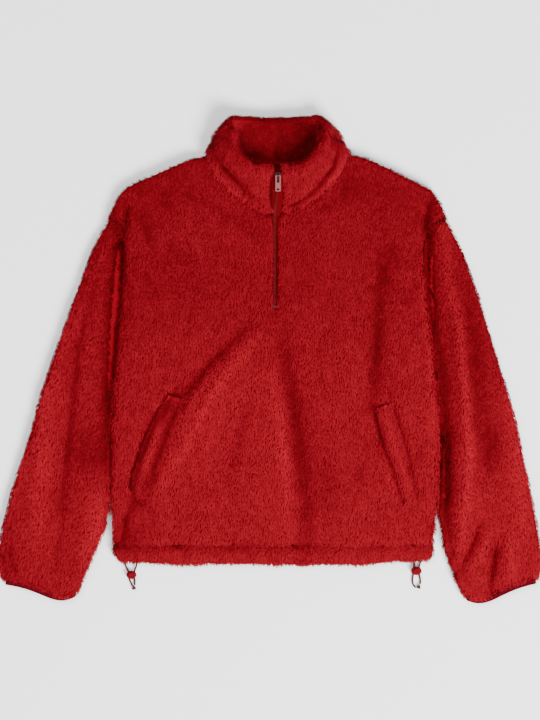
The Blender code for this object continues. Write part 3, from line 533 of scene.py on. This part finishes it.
# A groove runs round the collar over a soft roll at its seam
COLLAR_CREASES = [
    ([(-91, 353), (-88, 333), (-78, 316), (-62, 299), (-46, 282), (-28, 264), (-8, 256)], 5, -6.0),
    ([(-98, 342), (-95, 320), (-81, 299), (-63, 281), (-43, 266), (-26, 254)], 7, 3.2),
    ([(102, 364), (108, 337), (102, 313), (86, 290), (64, 268), (42, 254), (26, 250)], 5, -6.0),
    ([(118, 342), (112, 318), (100, 298), (80, 278), (60, 262), (40, 248)], 7, 3.2),
    ([(82, 384), (84, 362), (83, 334)], 3, -3.0),
    ([(96, 374), (98, 356), (94, 336)], 3, -3.0),
]

# Over the shoulder tips the armhole seam lies open under closed pile
SEAM_FILLS = [
    ([(-222, 190), (-236, 213), (-252, 224), (-275, 231)], 10, 7.0),
    ([(238, 190), (259, 213), (275, 224), (298, 231)], 10, 7.0),
]

# The same kind of table for painted light and shade on the pile alone: a negative height is painted
# shade, a positive one painted light
PAINTED_LIGHT_AND_SHADE = [
    ([(-460, 140), (480, 140)], 130, -1.6),
    ([(-260, 240), (-80, 310)], 45, -2.2),
    ([(90, 310), (260, 240)], 45, -2.0),
    ([(80, -250), (170, -100)], 40, -0.8),
    ([(-250, 60), (-130, 200)], 40, -0.8),
    ([(300, 150), (350, -170)], 40, -2.8),
    ([(280, -90), (287, -150), (287, -215), (283, -262)], 8, -4.5),
    ([(-168, -62), (-188, -125), (-207, -190)], 5, 3.0),
    ([(-180, -64), (-160, -55), (-140, -64)], 5, 6.0),
    ([(164, -78), (186, -71), (208, -64)], 4, 5.0),
    ([(-150, -72), (-170, -120), (-190, -175), (-206, -220)], 5, -1.6),
    ([(-40, 60), (-20, -240)], 60, 0.6),
    ([(-249, 200), (-251, 120), (-254, 40), (-262, -60)], 6, -5.0),
    ([(-301, 118), (-321, 60), (-387, -146), (-425, -262)], 8, 3.0),
]

# Painted light on the pile over the upper ends of both armhole seams
PAINTED_SEAM_LIGHT = [
    ([(-246, 220), (-262, 226), (-284, 229)], 4, 4.0),
    ([(260, 211), (274, 220), (286, 226), (304, 228)], 4, 6.0),
]


def relief(x, y, folds):
    """The height that a table of folds adds at each place, in mm. It fades to a route's ends."""
    here = np.stack((x, y), axis=1)
    total = np.zeros(len(here))
    for route, half_width, height in folds:
        points = np.array(route, float)
        nearest, place = np.full(len(here), 1e9), np.zeros(len(here))
        for i in range(len(points) - 1):
            along = points[i + 1] - points[i]
            part = np.clip((here - points[i]) @ along / (along @ along), 0, 1)
            distance = np.linalg.norm(here - points[i] - part[:, None] * along, axis=1)
            closer = distance < nearest
            nearest[closer] = distance[closer]
            place[closer] = ((i + part) / (len(points) - 1))[closer]
        total += height * np.sin(np.pi * (0.06 + 0.88 * place)) * np.exp(-(nearest / half_width) ** 2)
    return total


# %% What lies against what
def forest(meshes):
    """One search tree over several meshes."""
    points, corners, sizes = joined(
        [(vertex_arrays(mesh)[0], read(mesh.loops, "vertex_index"), read(mesh.polygons, "loop_total"))
         for mesh in meshes])
    faces = np.split(corners, np.cumsum(sizes)[:-1])
    return BVHTree.FromPolygons(points.tolist(), [face.tolist() for face in faces])


RAY_START = 0.25 * MM       # off the surface, so that a ray doesn't meet its own


def in_the_open(tree, places, ups, reach):
    """True where no surface of the tree lies over a place within reach."""
    clear = np.ones(len(places), bool)
    for i, (place, up) in enumerate(zip(places, ups)):
        clear[i] = tree.ray_cast(Vector(place + up * RAY_START), Vector(up), reach)[0] is None
    return clear


CLOTH_NODES = ["front", "back", "hem_casing_front", "hem_casing_back", "sleeve_left",
               "sleeve_right", "collar", "pocket_welt_left", "pocket_welt_right"]
CAD_CLOTH = forest([NODES[name].data for name in CLOTH_NODES])

# %% Material of the ground
# Pile fleece seen at its root: warp-knitted polyester, dyed in the piece, matt, and painted darker than
# the tips as the shade that the pile casts on it.
ground, shader = new_material("knitted_polyester_ground", "#6e090d", 0.95, Specular_IOR_Level=0.1,
                              Specular_Tint=linear("#c02020"))
fuzz = texture(shader, "Noise", {"Scale": 420.0, "Detail": 4.0})
colour_by(shader, fuzz, [(0.3, "#5a0610"), (0.7, "#700914")])
bump_by(shader, fuzz, 0.8, 2.0)

# %% Ground of each panel
PILE_DEPTH = 3.8                # on the body, the sleeves and the collar
HIDDEN_PILE_DEPTH = 4.0
WELT_PILE_DEPTH = 2.4
FRONT_VOXEL = 4.5
LUMP = 9.0 * MM                 # across, of the lumps that a thick double cloth shows

# The CAD's triangles: which are halves of one quad, and which edges and corners stay sharp
SAME_POINT = 1e-5
QUAD_FACE_ANGLE, QUAD_SHAPE_ANGLE = math.radians(30), math.radians(50)
SHARP_EDGE = math.radians(50)
SHARP_CORNER = math.radians(130)

# Places in mm where a panel ends in a corner, so that its ground reaches further out
SHOULDER_TIPS = np.array(((-264.0, 228.0), (288.0, 228.0)))
TIP_REACH = (10 * MM, 34 * MM)
ZIP_ENDS = (-2.0, 30.0)
COLLAR_FROM_Y = 0.24


def at_full_size(points, normals):
    """From 0, at a corner or at the zip, where the ground keeps the CAD shape, to 1."""
    share = np.ones(len(points))
    for tip in SHOULDER_TIPS:
        away = np.linalg.norm(points[:, :2] - tip * MM, axis=1)
        share = np.minimum(share, smoothstep(away, *TIP_REACH))
    beside = (points[:, 0] > ZIP_ENDS[0] * MM) & (points[:, 0] < ZIP_ENDS[1] * MM)
    ends = beside & (np.abs(normals[:, 0]) > 0.5) & (points[:, 1] > COLLAR_FROM_Y)
    return np.where(ends, 0.0, share)


def quads_with_creases(name, node):
    """A copy of a CAD mesh in quads, with its sharp edges and corners marked for subdivision."""
    work = bmesh.new()
    work.from_mesh(NODES[node].data)
    bmesh.ops.remove_doubles(work, verts=work.verts, dist=SAME_POINT)
    bmesh.ops.join_triangles(work, faces=work.faces, angle_face_threshold=QUAD_FACE_ANGLE,
                             angle_shape_threshold=QUAD_SHAPE_ANGLE)
    edges = work.edges.layers.float.new("crease_edge")
    for edge in work.edges:
        if edge.calc_face_angle(0.0) > SHARP_EDGE:
            edge[edges] = 1.0
    corners = work.verts.layers.float.new("crease_vert")
    for vert in work.verts:
        sharp = [edge.other_vert(vert).co - vert.co for edge in vert.link_edges if edge[edges] > 0]
        if len(sharp) == 2 and sharp[0].angle(sharp[1], 0.0) < SHARP_CORNER:
            vert[corners] = 1.0
    mesh = bpy.data.meshes.new(name)
    work.to_mesh(mesh)
    work.free()
    return mesh


def cloth(node, finish=ground, name="", depth=PILE_DEPTH, voxel=0.0, creases=(),
          along_normal=False, lumps=0.0):
    """A finer copy of a CAD panel, moved in by depth mm where its pile stands."""
    name = name or node + "_ground"
    item = bpy.data.objects.new(name, quads_with_creases(name, node))
    bpy.context.scene.collection.objects.link(item)
    if voxel:
        step = item.modifiers.new("even", 'REMESH')
        step.mode, step.voxel_size = 'VOXEL', voxel * MM
        step = item.modifiers.new("soft", 'SMOOTH')
        step.factor, step.iterations = 0.5, 6
    else:
        item.modifiers.new("round", 'SUBSURF').levels = 2
    apply_modifiers(item)
    mesh = item.data
    points, normals = vertex_arrays(mesh)
    up = normals[:, 2]
    inset = depth * MM * smoothstep(up, -0.6, 0.3)
    # An edge that is sewn to a neighbour has no pile on it, and reaches out to close the seam
    edge = (inset > 0) & (up < 0.75)
    sewn = ~in_the_open(CAD_CLOTH, points[edge], normals[edge], (6 if voxel else 4) * MM)
    inset[edge] = np.where(sewn, (-2.0 if voxel else -1.0) * MM, inset[edge])
    points -= normals * (inset * at_full_size(points, normals))[:, None]
    points += normals * (lumps * MM * noise(points, LUMP, 12))[:, None]
    if creases:
        height = MM * relief(points[:, 0] / MM, points[:, 1] / MM, creases)
        if along_normal:
            way = normals * smoothstep(normals[:, 2:], -0.2, 0.3)
        else:
            way = np.outer(smoothstep(up, 0.2, 0.8), (0, 0, 1))
        points += way * height[:, None]
    fill = relief(points[:, 0] / MM, points[:, 1] / MM, SEAM_FILLS) * smoothstep(up, -0.3, 0.1)
    points[:, 2] = np.maximum(points[:, 2] + MM * fill, 0.0)
    mesh.vertices.foreach_set("co", points.astype(np.float32).ravel())
    mesh.materials.clear()
    mesh.materials.append(finish)
    mesh.update()
    mesh.shade_smooth()
    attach(item, "garment")
    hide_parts(node)
    print(name, len(mesh.polygons), "faces")
    return item


front = cloth("front", voxel=FRONT_VOXEL, creases=BODY_CREASES + HEM_CREASES)
back = cloth("back", depth=HIDDEN_PILE_DEPTH)
casing_front = cloth("hem_casing_front", creases=HEM_CREASES)
casing_back = cloth("hem_casing_back", depth=HIDDEN_PILE_DEPTH)
sleeve_left = cloth("sleeve_left", creases=SLEEVE_CREASES)
sleeve_right = cloth("sleeve_right", creases=SLEEVE_CREASES)
collar = cloth("collar", creases=COLLAR_CREASES, along_normal=True, lumps=1.3)
welt_left = cloth("pocket_welt_left", depth=WELT_PILE_DEPTH)
welt_right = cloth("pocket_welt_right", depth=WELT_PILE_DEPTH)
PANELS = [front, back, casing_front, casing_back, sleeve_left, sleeve_right, collar, welt_left,
          welt_right]

# %% [markdown]
# ## The pile
#
# High-pile fleece is brushed and sheared, so its fibres stand in small locks
# that lean down the garment, about 7 mm long. A fibre is far finer than a
# pixel of any view, so each tuft here stands for some dozens of them: a
# narrow blade that rises from the ground, bends over with the nap and ends
# in a point. Locks pull their tufts together, and slow noise turns the nap a
# little, which is what makes the mottled streaks that a brushed pile shows.

# %% Where tufts may grow
ALL_GROUND = forest([item.data for item in PANELS])


def scatter(mesh, spacing, seed, keep):
    """Even random places on a mesh, with smooth normals, where keep(points, normals) holds."""
    mesh.calc_loop_triangles()
    corners = read(mesh.loop_triangles, "vertices", width=3)
    points, normals = vertex_arrays(mesh)
    a, b, c = (points[corners[:, i]] for i in range(3))
    area = np.linalg.norm(np.cross(b - a, c - a), axis=1) / 2
    area = area * keep((a + b + c) / 3, unit(normals[corners].sum(axis=1)))
    edges = np.cumsum(area)
    count = int(edges[-1] / spacing ** 2)
    random = np.random.default_rng(seed)
    places = (np.arange(count) + random.random(count)) * edges[-1] / count
    chosen = corners[np.searchsorted(edges, places)]
    u, v = np.sqrt(random.random(count)), random.random(count)
    weights = np.stack((1 - u, u * (1 - v), u * v), axis=1)[:, :, None]
    return (weights * points[chosen]).sum(axis=1), unit((weights * normals[chosen]).sum(axis=1))


# %% Material of the pile
# Pile: fine polyester fibre with a soft lustre. Light soaks in between the tufts, so roots are painted
# deep red as shade and tips bright, and each lock differs a little in tone. The attribute's red is the
# place along the tuft, green its own tone and blue the tone of its lock with painted light and shade
# added.
pile, shader = new_material("brushed_polyester_pile", "#a81419", 0.62, Sheen_Weight=0.08,
                            Sheen_Roughness=0.5, Sheen_Tint=linear("#d81818"),
                            Specular_IOR_Level=0.25, Specular_Tint=linear("#e02020"))
tree = shader.id_data
told = add_node(tree, "ShaderNodeAttribute", attribute_name="pile")
parts = add_node(tree, "ShaderNodeSeparateColor", {"Color": told.outputs["Color"]})
along = ramp(tree, parts.outputs["Red"], [(0.0, "#5a0b12"), (0.5, "#6f0e18"), (1.0, "#7f111b")])
tone = add_node(tree, "ShaderNodeMath", {0: parts.outputs["Green"], 1: parts.outputs["Blue"]},
                operation='ADD')
spread = add_node(tree, "ShaderNodeMapRange", {"Value": tone.outputs["Value"]},
                  {"From Max": 2.0, "To Min": 0.79, "To Max": 1.15}, clamp=False)
toned = add_node(tree, "ShaderNodeVectorMath", {0: along, "Scale": spread.outputs["Result"]},
                 operation='SCALE')
tree.links.new(toned.outputs["Vector"], shader.inputs["Base Color"])

# %% Grow tufts
TUFT_STEPS = np.array((0.0, 0.55, 1.0))     # places along a tuft, and its width there
TUFT_WIDTHS = np.array((0.9, 1.0, 0.0))
TUFT_CORNERS = np.array((0, 1, 3, 2, 2, 3, 4))      # one quad and the triangle of its point
TUFT_SPACING = 1.8
TUFT_LENGTH = 6.8
TUFT_WIDTH = 1.3
EDGE_LENGTH = 0.72      # share that is left where pile is rubbed short along an edge
UP_AND_OVER = 0.4       # pile is brushed up and over an edge that meets the nap
LOCK = 3.6 * MM         # across, of the locks that tufts gather in
PULL = 0.28             # how far a lock draws the tips of its tufts together
BODY_CLEARANCE = 4 * MM         # free height that a tuft needs on an even panel
EDGE_CLEARANCE = 1.2 * MM       # and on an upright edge
PAINTED_FOLD_SHADE = 0.62    # painted shade in a trough and painted light on a ridge, as a share of its height
# The deepest painted shade that the pile takes
DARKEST = -4.4
PAINTED_EDGE_LIGHT = 1.6         # painted light on the pile at an upright edge
TONES = (-4.5, 7.0)     # the range of tones that a baked map holds
MAP_WIDTH = 0.006       # half the width of one tuft's strip in that map


def grow(name, base, nap, seed, keep, painted_tones=(), length=TUFT_LENGTH, shorter=None, painted_dark=None):
    """Tufts on a panel.

    nap(roots) is the way they lie, keep(points, normals) where they are, painted_tones tables of painted
    light and shade, shorter(roots) a share of their length and painted_dark(roots, ups) a painted shade.
    """
    roots, ups = scatter(base.data, TUFT_SPACING * MM, seed, keep)
    upright = ups[:, 2] < 0.5
    clear = in_the_open(ALL_GROUND, roots, ups, BODY_CLEARANCE)
    clear[upright] = in_the_open(ALL_GROUND, roots[upright], ups[upright], EDGE_CLEARANCE)
    # The pile closes over a seam that is filled
    clear |= relief(roots[:, 0] / MM, roots[:, 1] / MM, SEAM_FILLS) > 2.5
    roots, ups = roots[clear], ups[clear]
    count = len(roots)
    random = np.random.default_rng(seed + 1000)

    # The way each tuft lies, turned a little by slow noise and by chance
    way = nap(roots)
    way[:, 2] += UP_AND_OVER * np.maximum(ups[:, 1], 0)
    way = unit(way - ups * dot(way, ups) + random.normal(0, 0.03, (count, 3)))
    side = np.cross(way, ups)
    swirl = 0.30 * noise(roots, 0.045, 1) + 0.34 * noise(roots, 0.013, 2) + random.normal(0, 0.16, count)
    way = way * np.cos(swirl)[:, None] + side * np.sin(swirl)[:, None]
    side = unit(np.cross(way, ups))

    cells = np.floor(roots / LOCK)
    jitter = np.stack([hashed(cells, k) for k in (3, 4, 5)], axis=1)
    pull = (cells + jitter) * LOCK - roots
    pull -= ups * dot(pull, ups)
    long = length * MM * (1 + 0.16 * noise(roots, 0.011, 6) + random.normal(0, 0.10, count))
    long = long * (EDGE_LENGTH + (1 - EDGE_LENGTH) * smoothstep(ups[:, 2], 0.0, 0.5))
    if shorter is not None:
        long = long * shorter(roots)
    lift = 0.58 + 0.14 * noise(roots, 0.010, 7) + random.normal(0, 0.05, count)
    twist = random.normal(0, 0.5, count)
    across = side * np.cos(twist)[:, None] + ups * np.sin(twist)[:, None]
    # Every blade has its face up
    across *= np.where(np.cross(across, ups + way)[:, 2:] < 0, -1, 1)
    wide = 0.5 * TUFT_WIDTH * MM * random.uniform(0.75, 1.25, count)

    points, normals = np.empty((2, count, 5, 3))
    for k, (t, share) in enumerate(zip(TUFT_STEPS, TUFT_WIDTHS)):
        middle = (roots + ups * (lift * long * (1 - (1 - t) ** 2))[:, None]
                  + way * (0.84 * long * t ** 1.4)[:, None] + pull * PULL * t ** 1.5)
        slope = unit(ups * (2 * lift * (1 - t) + 0.15)[:, None] + way * (0.2 + t))
        facing = unit(np.cross(across, slope))
        facing *= np.sign(dot(facing, ups) + 1e-6)
        soft = unit(0.5 * ups + 0.2 * facing + np.array((0, 0, 0.5)))
        if share == 0.0:
            points[:, 4], normals[:, 4] = middle, soft
            continue
        points[:, 2 * k] = middle - across * (wide * share)[:, None]
        points[:, 2 * k + 1] = middle + across * (wide * share)[:, None]
        normals[:, 2 * k], normals[:, 2 * k + 1] = soft, soft
    points[:, :, 2] = np.maximum(points[:, :, 2], 0.2 * MM)     # clear of the floor

    corners = (TUFT_CORNERS[None, :] + 5 * np.arange(count)[:, None]).ravel()
    item = add_mesh(name, points.reshape(-1, 3), corners, np.tile((4, 3), count), pile)
    mesh = item.data

    # The attribute that the material reads
    tones = np.ones((count, 5, 4), np.float32)
    tones[:, :, 0] = np.repeat(TUFT_STEPS, (2, 2, 1))
    tones[:, :, 1] = random.random(count)[:, None]
    # Painted light and shade from the tables and the neck, then painted light at upright edges
    shade = PAINTED_FOLD_SHADE * relief(roots[:, 0] / MM, roots[:, 1] / MM, painted_tones)
    if painted_dark is not None:
        shade += painted_dark(roots, ups)
    shade = np.maximum(shade, DARKEST)
    if painted_dark is None:
        shade += PAINTED_EDGE_LIGHT * (1 - smoothstep(ups[:, 2], 0.0, 0.65))
    # Blue: the lock's random tone and clump noise, with the painted light and shade added
    tones[:, :, 2] = (hashed(cells, 8) + shade + 0.6 * noise(roots, 0.008, 9))[:, None]
    mesh.color_attributes.new("pile", 'FLOAT_COLOR', 'POINT').data.foreach_set("color", tones.ravel())

    # The colour depends only on the tone and the place along the tuft, so a bake has those as map
    tone = (tones[:, :, 1] + tones[:, :, 2] - TONES[0]) / (TONES[1] - TONES[0])
    tone = tone + MAP_WIDTH * np.array((-1, 1, -1, 1, 0))
    spots = np.stack((tone, 0.02 + 0.96 * tones[:, :, 0]), axis=2).clip(0.01, 0.99).astype(np.float32)
    mesh.uv_layers.new(name="OFBake").uv.foreach_set("vector", spots[:, TUFT_CORNERS].ravel())
    mesh.normals_split_custom_set_from_vertices(normals.reshape(-1, 3).astype(np.float32))
    print(name, count, "tufts,", 3 * count, "triangles")
    return item


# %% The nap of each panel, and where it is short or dim
ZIP_X = 8.0 * MM
ZIP_FROM_Y = 0.078
COLLAR_TURN, BODY_TURN = 1.1, 0.15      # how far pile beside the zip turns toward it
FRONT_MIDDLE = 12 * MM      # the front's pile is two pieces, left and right of it
NECK = (11.0, 356.0)        # middle and half sizes of the opening, in mm
NECK_HALF = (66.0, 37.0)


def lying(x, y, z):
    """The nap in one direction all over a panel, but toward the zip right beside it."""
    def nap(roots):
        ways = np.tile((x, y, z), (len(roots), 1)).astype(float)
        away = roots[:, 0] - ZIP_X
        beside = (1 - smoothstep(np.abs(away), 6 * MM, 20 * MM)) * (roots[:, 1] > ZIP_FROM_Y)
        ways[:, 0] -= np.where(roots[:, 1] > 0.235, COLLAR_TURN, BODY_TURN) * np.sign(away) * beside
        return ways
    return nap


def outside(points, normals):
    """All but the side that the garment lies on."""
    return normals[:, 2] > -0.35


def left_part(points, normals):
    return outside(points, normals) & (points[:, 0] < FRONT_MIDDLE)


def right_part(points, normals):
    return outside(points, normals) & (points[:, 0] >= FRONT_MIDDLE)


def seen_back(points, normals):
    """The back's edges, and what of it shows in the neck."""
    return outside(points, normals) & ((points[:, 1] > 0.23) | (normals[:, 2] < 0.7))


def by_the_zip(roots):
    """Shorter beside the zip, where the pile is sheared to keep out of the slider."""
    away = np.abs(roots[:, 0] - ZIP_X)
    return 0.75 + 0.25 * np.maximum(smoothstep(away, 3 * MM, 16 * MM), roots[:, 1] < 0.075)


def by_the_hem(roots):
    """Shorter at the lower edge, where the cloth turns under."""
    return 0.5 + 0.5 * smoothstep(roots[:, 1], -332 * MM, -316 * MM)


def painted_neck_shade(roots, ups):
    """Painted shade down inside the collar, darkest at the right."""
    across, along = ((roots[:, k] / MM - NECK[k]) / NECK_HALF[k] for k in (0, 1))
    inside = 1 - smoothstep((across ** 4 + along ** 4) ** 0.25, 0.82, 1.08)
    return -0.4 - (2.2 + 0.8 * smoothstep(across, -0.1, 0.6)) * inside


def by_the_rim(roots):
    """Shorter beside the zip and over the collar's rim, where the pile is rolled under."""
    return by_the_zip(roots) * (1 - 0.35 * smoothstep(roots[:, 1], 366 * MM, 382 * MM))


# %% Pile on each panel
down = lying(0, -1, -0.05)
left_down, right_down = lying(-0.26, -0.96, -0.05), lying(0.22, -0.97, -0.05)
# Besides shaping the ground, the crease tables given to grow paint shade into their troughs and light
# onto their ridges
on_body = BODY_CREASES + HEM_CREASES + PAINTED_LIGHT_AND_SHADE + PAINTED_SEAM_LIGHT
on_sleeves = SLEEVE_CREASES + PAINTED_LIGHT_AND_SHADE + PAINTED_SEAM_LIGHT
WELT_TUFTS = 6.5        # their length

furs = {
    "front": [grow("front_pile_left", front, down, 11, left_part, on_body, shorter=by_the_zip),
              grow("front_pile_right", front, down, 12, right_part, on_body, shorter=by_the_zip)],
    "sleeve_left": [grow("sleeve_left_pile", sleeve_left, left_down, 13, outside, on_sleeves)],
    "sleeve_right": [grow("sleeve_right_pile", sleeve_right, right_down, 14, outside, on_sleeves)],
    "collar": [grow("collar_pile", collar, lying(0, -1, -0.35), 15, outside, COLLAR_CREASES,
                    shorter=by_the_rim, painted_dark=painted_neck_shade)],
    "casing_front": [grow("hem_casing_pile", casing_front, down, 16, outside, on_body,
                          shorter=by_the_hem)],
    "casing_back": [grow("hem_casing_back_pile", casing_back, down, 17, outside)],
    "back": [grow("back_pile", back, down, 18, seen_back, PAINTED_LIGHT_AND_SHADE)],
    "welt_left": [grow("pocket_welt_left_pile", welt_left, down, 19, outside, on_body, WELT_TUFTS)],
    "welt_right": [grow("pocket_welt_right_pile", welt_right, down, 20, outside, on_body, WELT_TUFTS)],
}

# %% [markdown]
# ## Cuff bindings
#
# The sleeves end in a narrow knitted elastic that is folded over the edge.
# Its ribs run along the sleeve and are drawn close when it is relaxed.

# %% Elastic bindings
# Elastic binding: nylon over rubber, knitted in fine ribs about 1 mm apart,
# dull, and darker than the pile beside it.
elastic, shader = new_material("ribbed_nylon_elastic", "#5c0c12", 0.7, Specular_IOR_Level=0.1,
                               Specular_Tint=linear("#c02020"))
rib = texture(shader, "Wave", {"Scale": 320.0, "Distortion": 0.4, "Detail": 1.0}, bands_direction='X')
thread = texture(shader, "Noise", {"Scale": 1800.0, "Detail": 2.0})
both = add_node(shader.id_data, "ShaderNodeMath", {0: rib, 1: thread}, operation='MULTIPLY')
colour_by(shader, both.outputs["Value"], [(0.05, "#30040a"), (0.6, "#5e0d14")])
bump_by(shader, both.outputs["Value"], 0.6, 0.5)

binding_left, binding_right = (
    cloth("cuff_binding_" + side, elastic, "cuff_elastic_" + side, depth=0.0)
    for side in ("left", "right"))

# %% [markdown]
# ## Zip
#
# A nylon coil zip: two spirals of monofilament, sewn to woven tapes, that
# mesh along the middle and part above the slider. The spirals are real here,
# with one turn for each tooth.

# %% Tape, coils and metal
# Zip tape: polyester twill, dyed a darker red, flat and dull. Its diagonal
# ribs are 0.85 mm apart.
tape_finish, shader = new_material("woven_zip_tape", "#3a030b", 0.85, Specular_IOR_Level=0.06,
                                   Specular_Tint=linear("#c02020"))
twill = texture(shader, "Wave", {"Scale": 520.0, "Distortion": 0.2}, bands_direction='DIAGONAL')
colour_by(shader, twill, [(0.2, "#430409"), (0.8, "#5a080e")])
bump_by(shader, twill, 0.5, 0.3)

# Coil: nylon monofilament, 0.6 mm thick, smooth, so each turn has its own
# small highlight.
coil_finish, shader = new_material("nylon_coil", "#5e1216", 0.45, Specular_IOR_Level=0.25,
                                   Specular_Tint=linear("#e08080"))
colour_by(shader, texture(shader, "Noise", {"Scale": 500.0}), [(0.3, "#520c11"), (0.7, "#6c171c")])


# Slider, pull and stop: zinc casting with a nickel plate, barrel-polished, which leaves a soft mirror
# with fine scratches. The pull's red tint is a painted reflection of the fleece all round it. The
# slider's body and the stop are plated black instead, so they hardly show between the dark tapes.
def plated(name, dark, light, low, high):
    """A plate whose fine scratches vary its colour and its roughness."""
    made, shader = new_material(name, light, high, Metallic=1.0)
    scratch = texture(shader, "Noise", {"Scale": 1500.0, "Detail": 6.0})
    roughness_by(shader, scratch, low, high)
    colour_by(shader, scratch, [(0.3, dark), (0.7, light)])
    return made


# The red in the pull's colours is a painted reflection of the fleece
nickel = plated("nickel_plated_zinc", "#8a474a", "#aa686a", 0.20, 0.38)
black_nickel = plated("black_nickel_plated_zinc", "#2c1517", "#46282a", 0.30, 0.45)

ZIP_FINISHES = {"zip_tape_left": tape_finish, "zip_tape_right": tape_finish,
                "zip_slider": black_nickel, "zip_pull": nickel, "zip_stop": black_nickel}
for name, finish in ZIP_FINISHES.items():
    NODES[name].data.materials.clear()
    NODES[name].data.materials.append(finish)
    if finish is not tape_finish:
        step = NODES[name].modifiers.new("soft_edges", 'BEVEL')
        step.width, step.segments, step.limit_method = 0.25 * MM, 3, 'ANGLE'
        step.harden_normals = False

# y, z of the tape's upper side, then the x of its two meeting edges, in mm
ZIP_ROWS = [
    (84.5, 15, 7.3, 7.7), (140, 15, 7.3, 7.7), (200, 15.5, 7.0, 7.4), (228, 17.5, 7.2, 7.6),
    (239, 25, 8.0, 8.4), (250, 34, 9.2, 9.6), (266, 40, 11.0, 11.4), (278, 43, 12.6, 13.2),
    (292, 45.3, 8.6, 17.4), (302, 46.6, 6.2, 19.2), (307, 45.6, 5.8, 19.5)]
COIL_PITCH = 1.15       # one turn, in mm
TURN_STEPS = 10
COIL_HALF = (1.0, 0.85)         # half sizes of a turn, across and up
COIL_MIDDLE = (0.75, 1.35)      # its middle, out from the tape's edge and up
WIRE_RADIUS = 0.29
WIRE_SIDES = 6
X_AXIS = np.array((1.0, 0.0, 0.0))


def coil_row(side):
    """One spiral along its tape's edge. side is -1 on the left and 1 on the right."""
    rows = [(r[2] if side < 0 else r[3], r[0] + CENTRE_SHIFT, r[1]) for r in ZIP_ROWS]
    line = smooth_path(rows, 12)
    travelled = np.concatenate(([0], np.cumsum(np.linalg.norm(np.diff(line, axis=0), axis=1))))
    turns = int(travelled[-1] / COIL_PITCH)
    places = np.linspace(0, travelled[-1], turns * TURN_STEPS)
    middle = np.stack([np.interp(places, travelled, line[:, k]) for k in range(3)], axis=1)
    way = unit(np.gradient(middle, axis=0))
    up = unit(np.cross(X_AXIS, way))
    angle = 2 * np.pi * places / COIL_PITCH + (np.pi if side > 0 else 0)
    across = side * COIL_MIDDLE[0] + COIL_HALF[0] * np.cos(angle)
    over = COIL_MIDDLE[1] + COIL_HALF[1] * np.sin(angle)
    middle = middle + X_AXIS * across[:, None] + up * over[:, None]
    return tube_arrays(middle * MM, WIRE_RADIUS * MM, WIRE_SIDES, up=(0.3, 0.1, 1))


coil = add_mesh("zip_coil_spirals", *joined([coil_row(-1), coil_row(1)]), coil_finish)
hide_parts("zip_coil")

# %% [markdown]

# %% [markdown]
# ## Floor and light
#
# A pale matt sheet under the garment, one large soft light from the lower
# right and a wide soft fill from above, as in a product studio.

# %% Floor
# Backdrop paper: matt, pale grey, lit evenly.
paper = new_material("backdrop_paper", "#efefef", 0.95, Specular_IOR_Level=0.1)[0]
plane = bpy.data.meshes.new("floor")
plane.from_pydata([(-6, -6, 0), (6, -6, 0), (6, 6, 0), (-6, 6, 0)], [], [(0, 1, 2, 3)])
plane.materials.append(paper)
floor = bpy.data.objects.new("floor", plane)
floor.location.z = -0.0003
bpy.context.scene.collection.objects.link(floor)


# %% Lights
def softbox(name, place, size, power):
    """A round area light that is aimed at the middle of the garment."""
    data = bpy.data.lights.new(name, 'AREA')
    data.shape, data.size, data.energy = 'DISK', size, power
    lamp = bpy.data.objects.new(name, data)
    lamp.location = place
    lamp.rotation_euler = (-Vector(place)).to_track_quat('-Z', 'Y').to_euler()
    bpy.context.scene.collection.objects.link(lamp)


softbox("key_softbox", (2.3, -3.1, 4.0), size=2.8, power=900)
softbox("fill_softbox", (-1.0, 1.4, 4.4), size=3.2, power=200)
world = bpy.data.worlds.new("studio")
world.use_nodes = True
backdrop = world.node_tree.nodes["Background"]
backdrop.inputs["Color"].default_value = (1.0, 1.0, 1.0, 1.0)
backdrop.inputs["Strength"].default_value = 0.6
bpy.context.scene.world = world
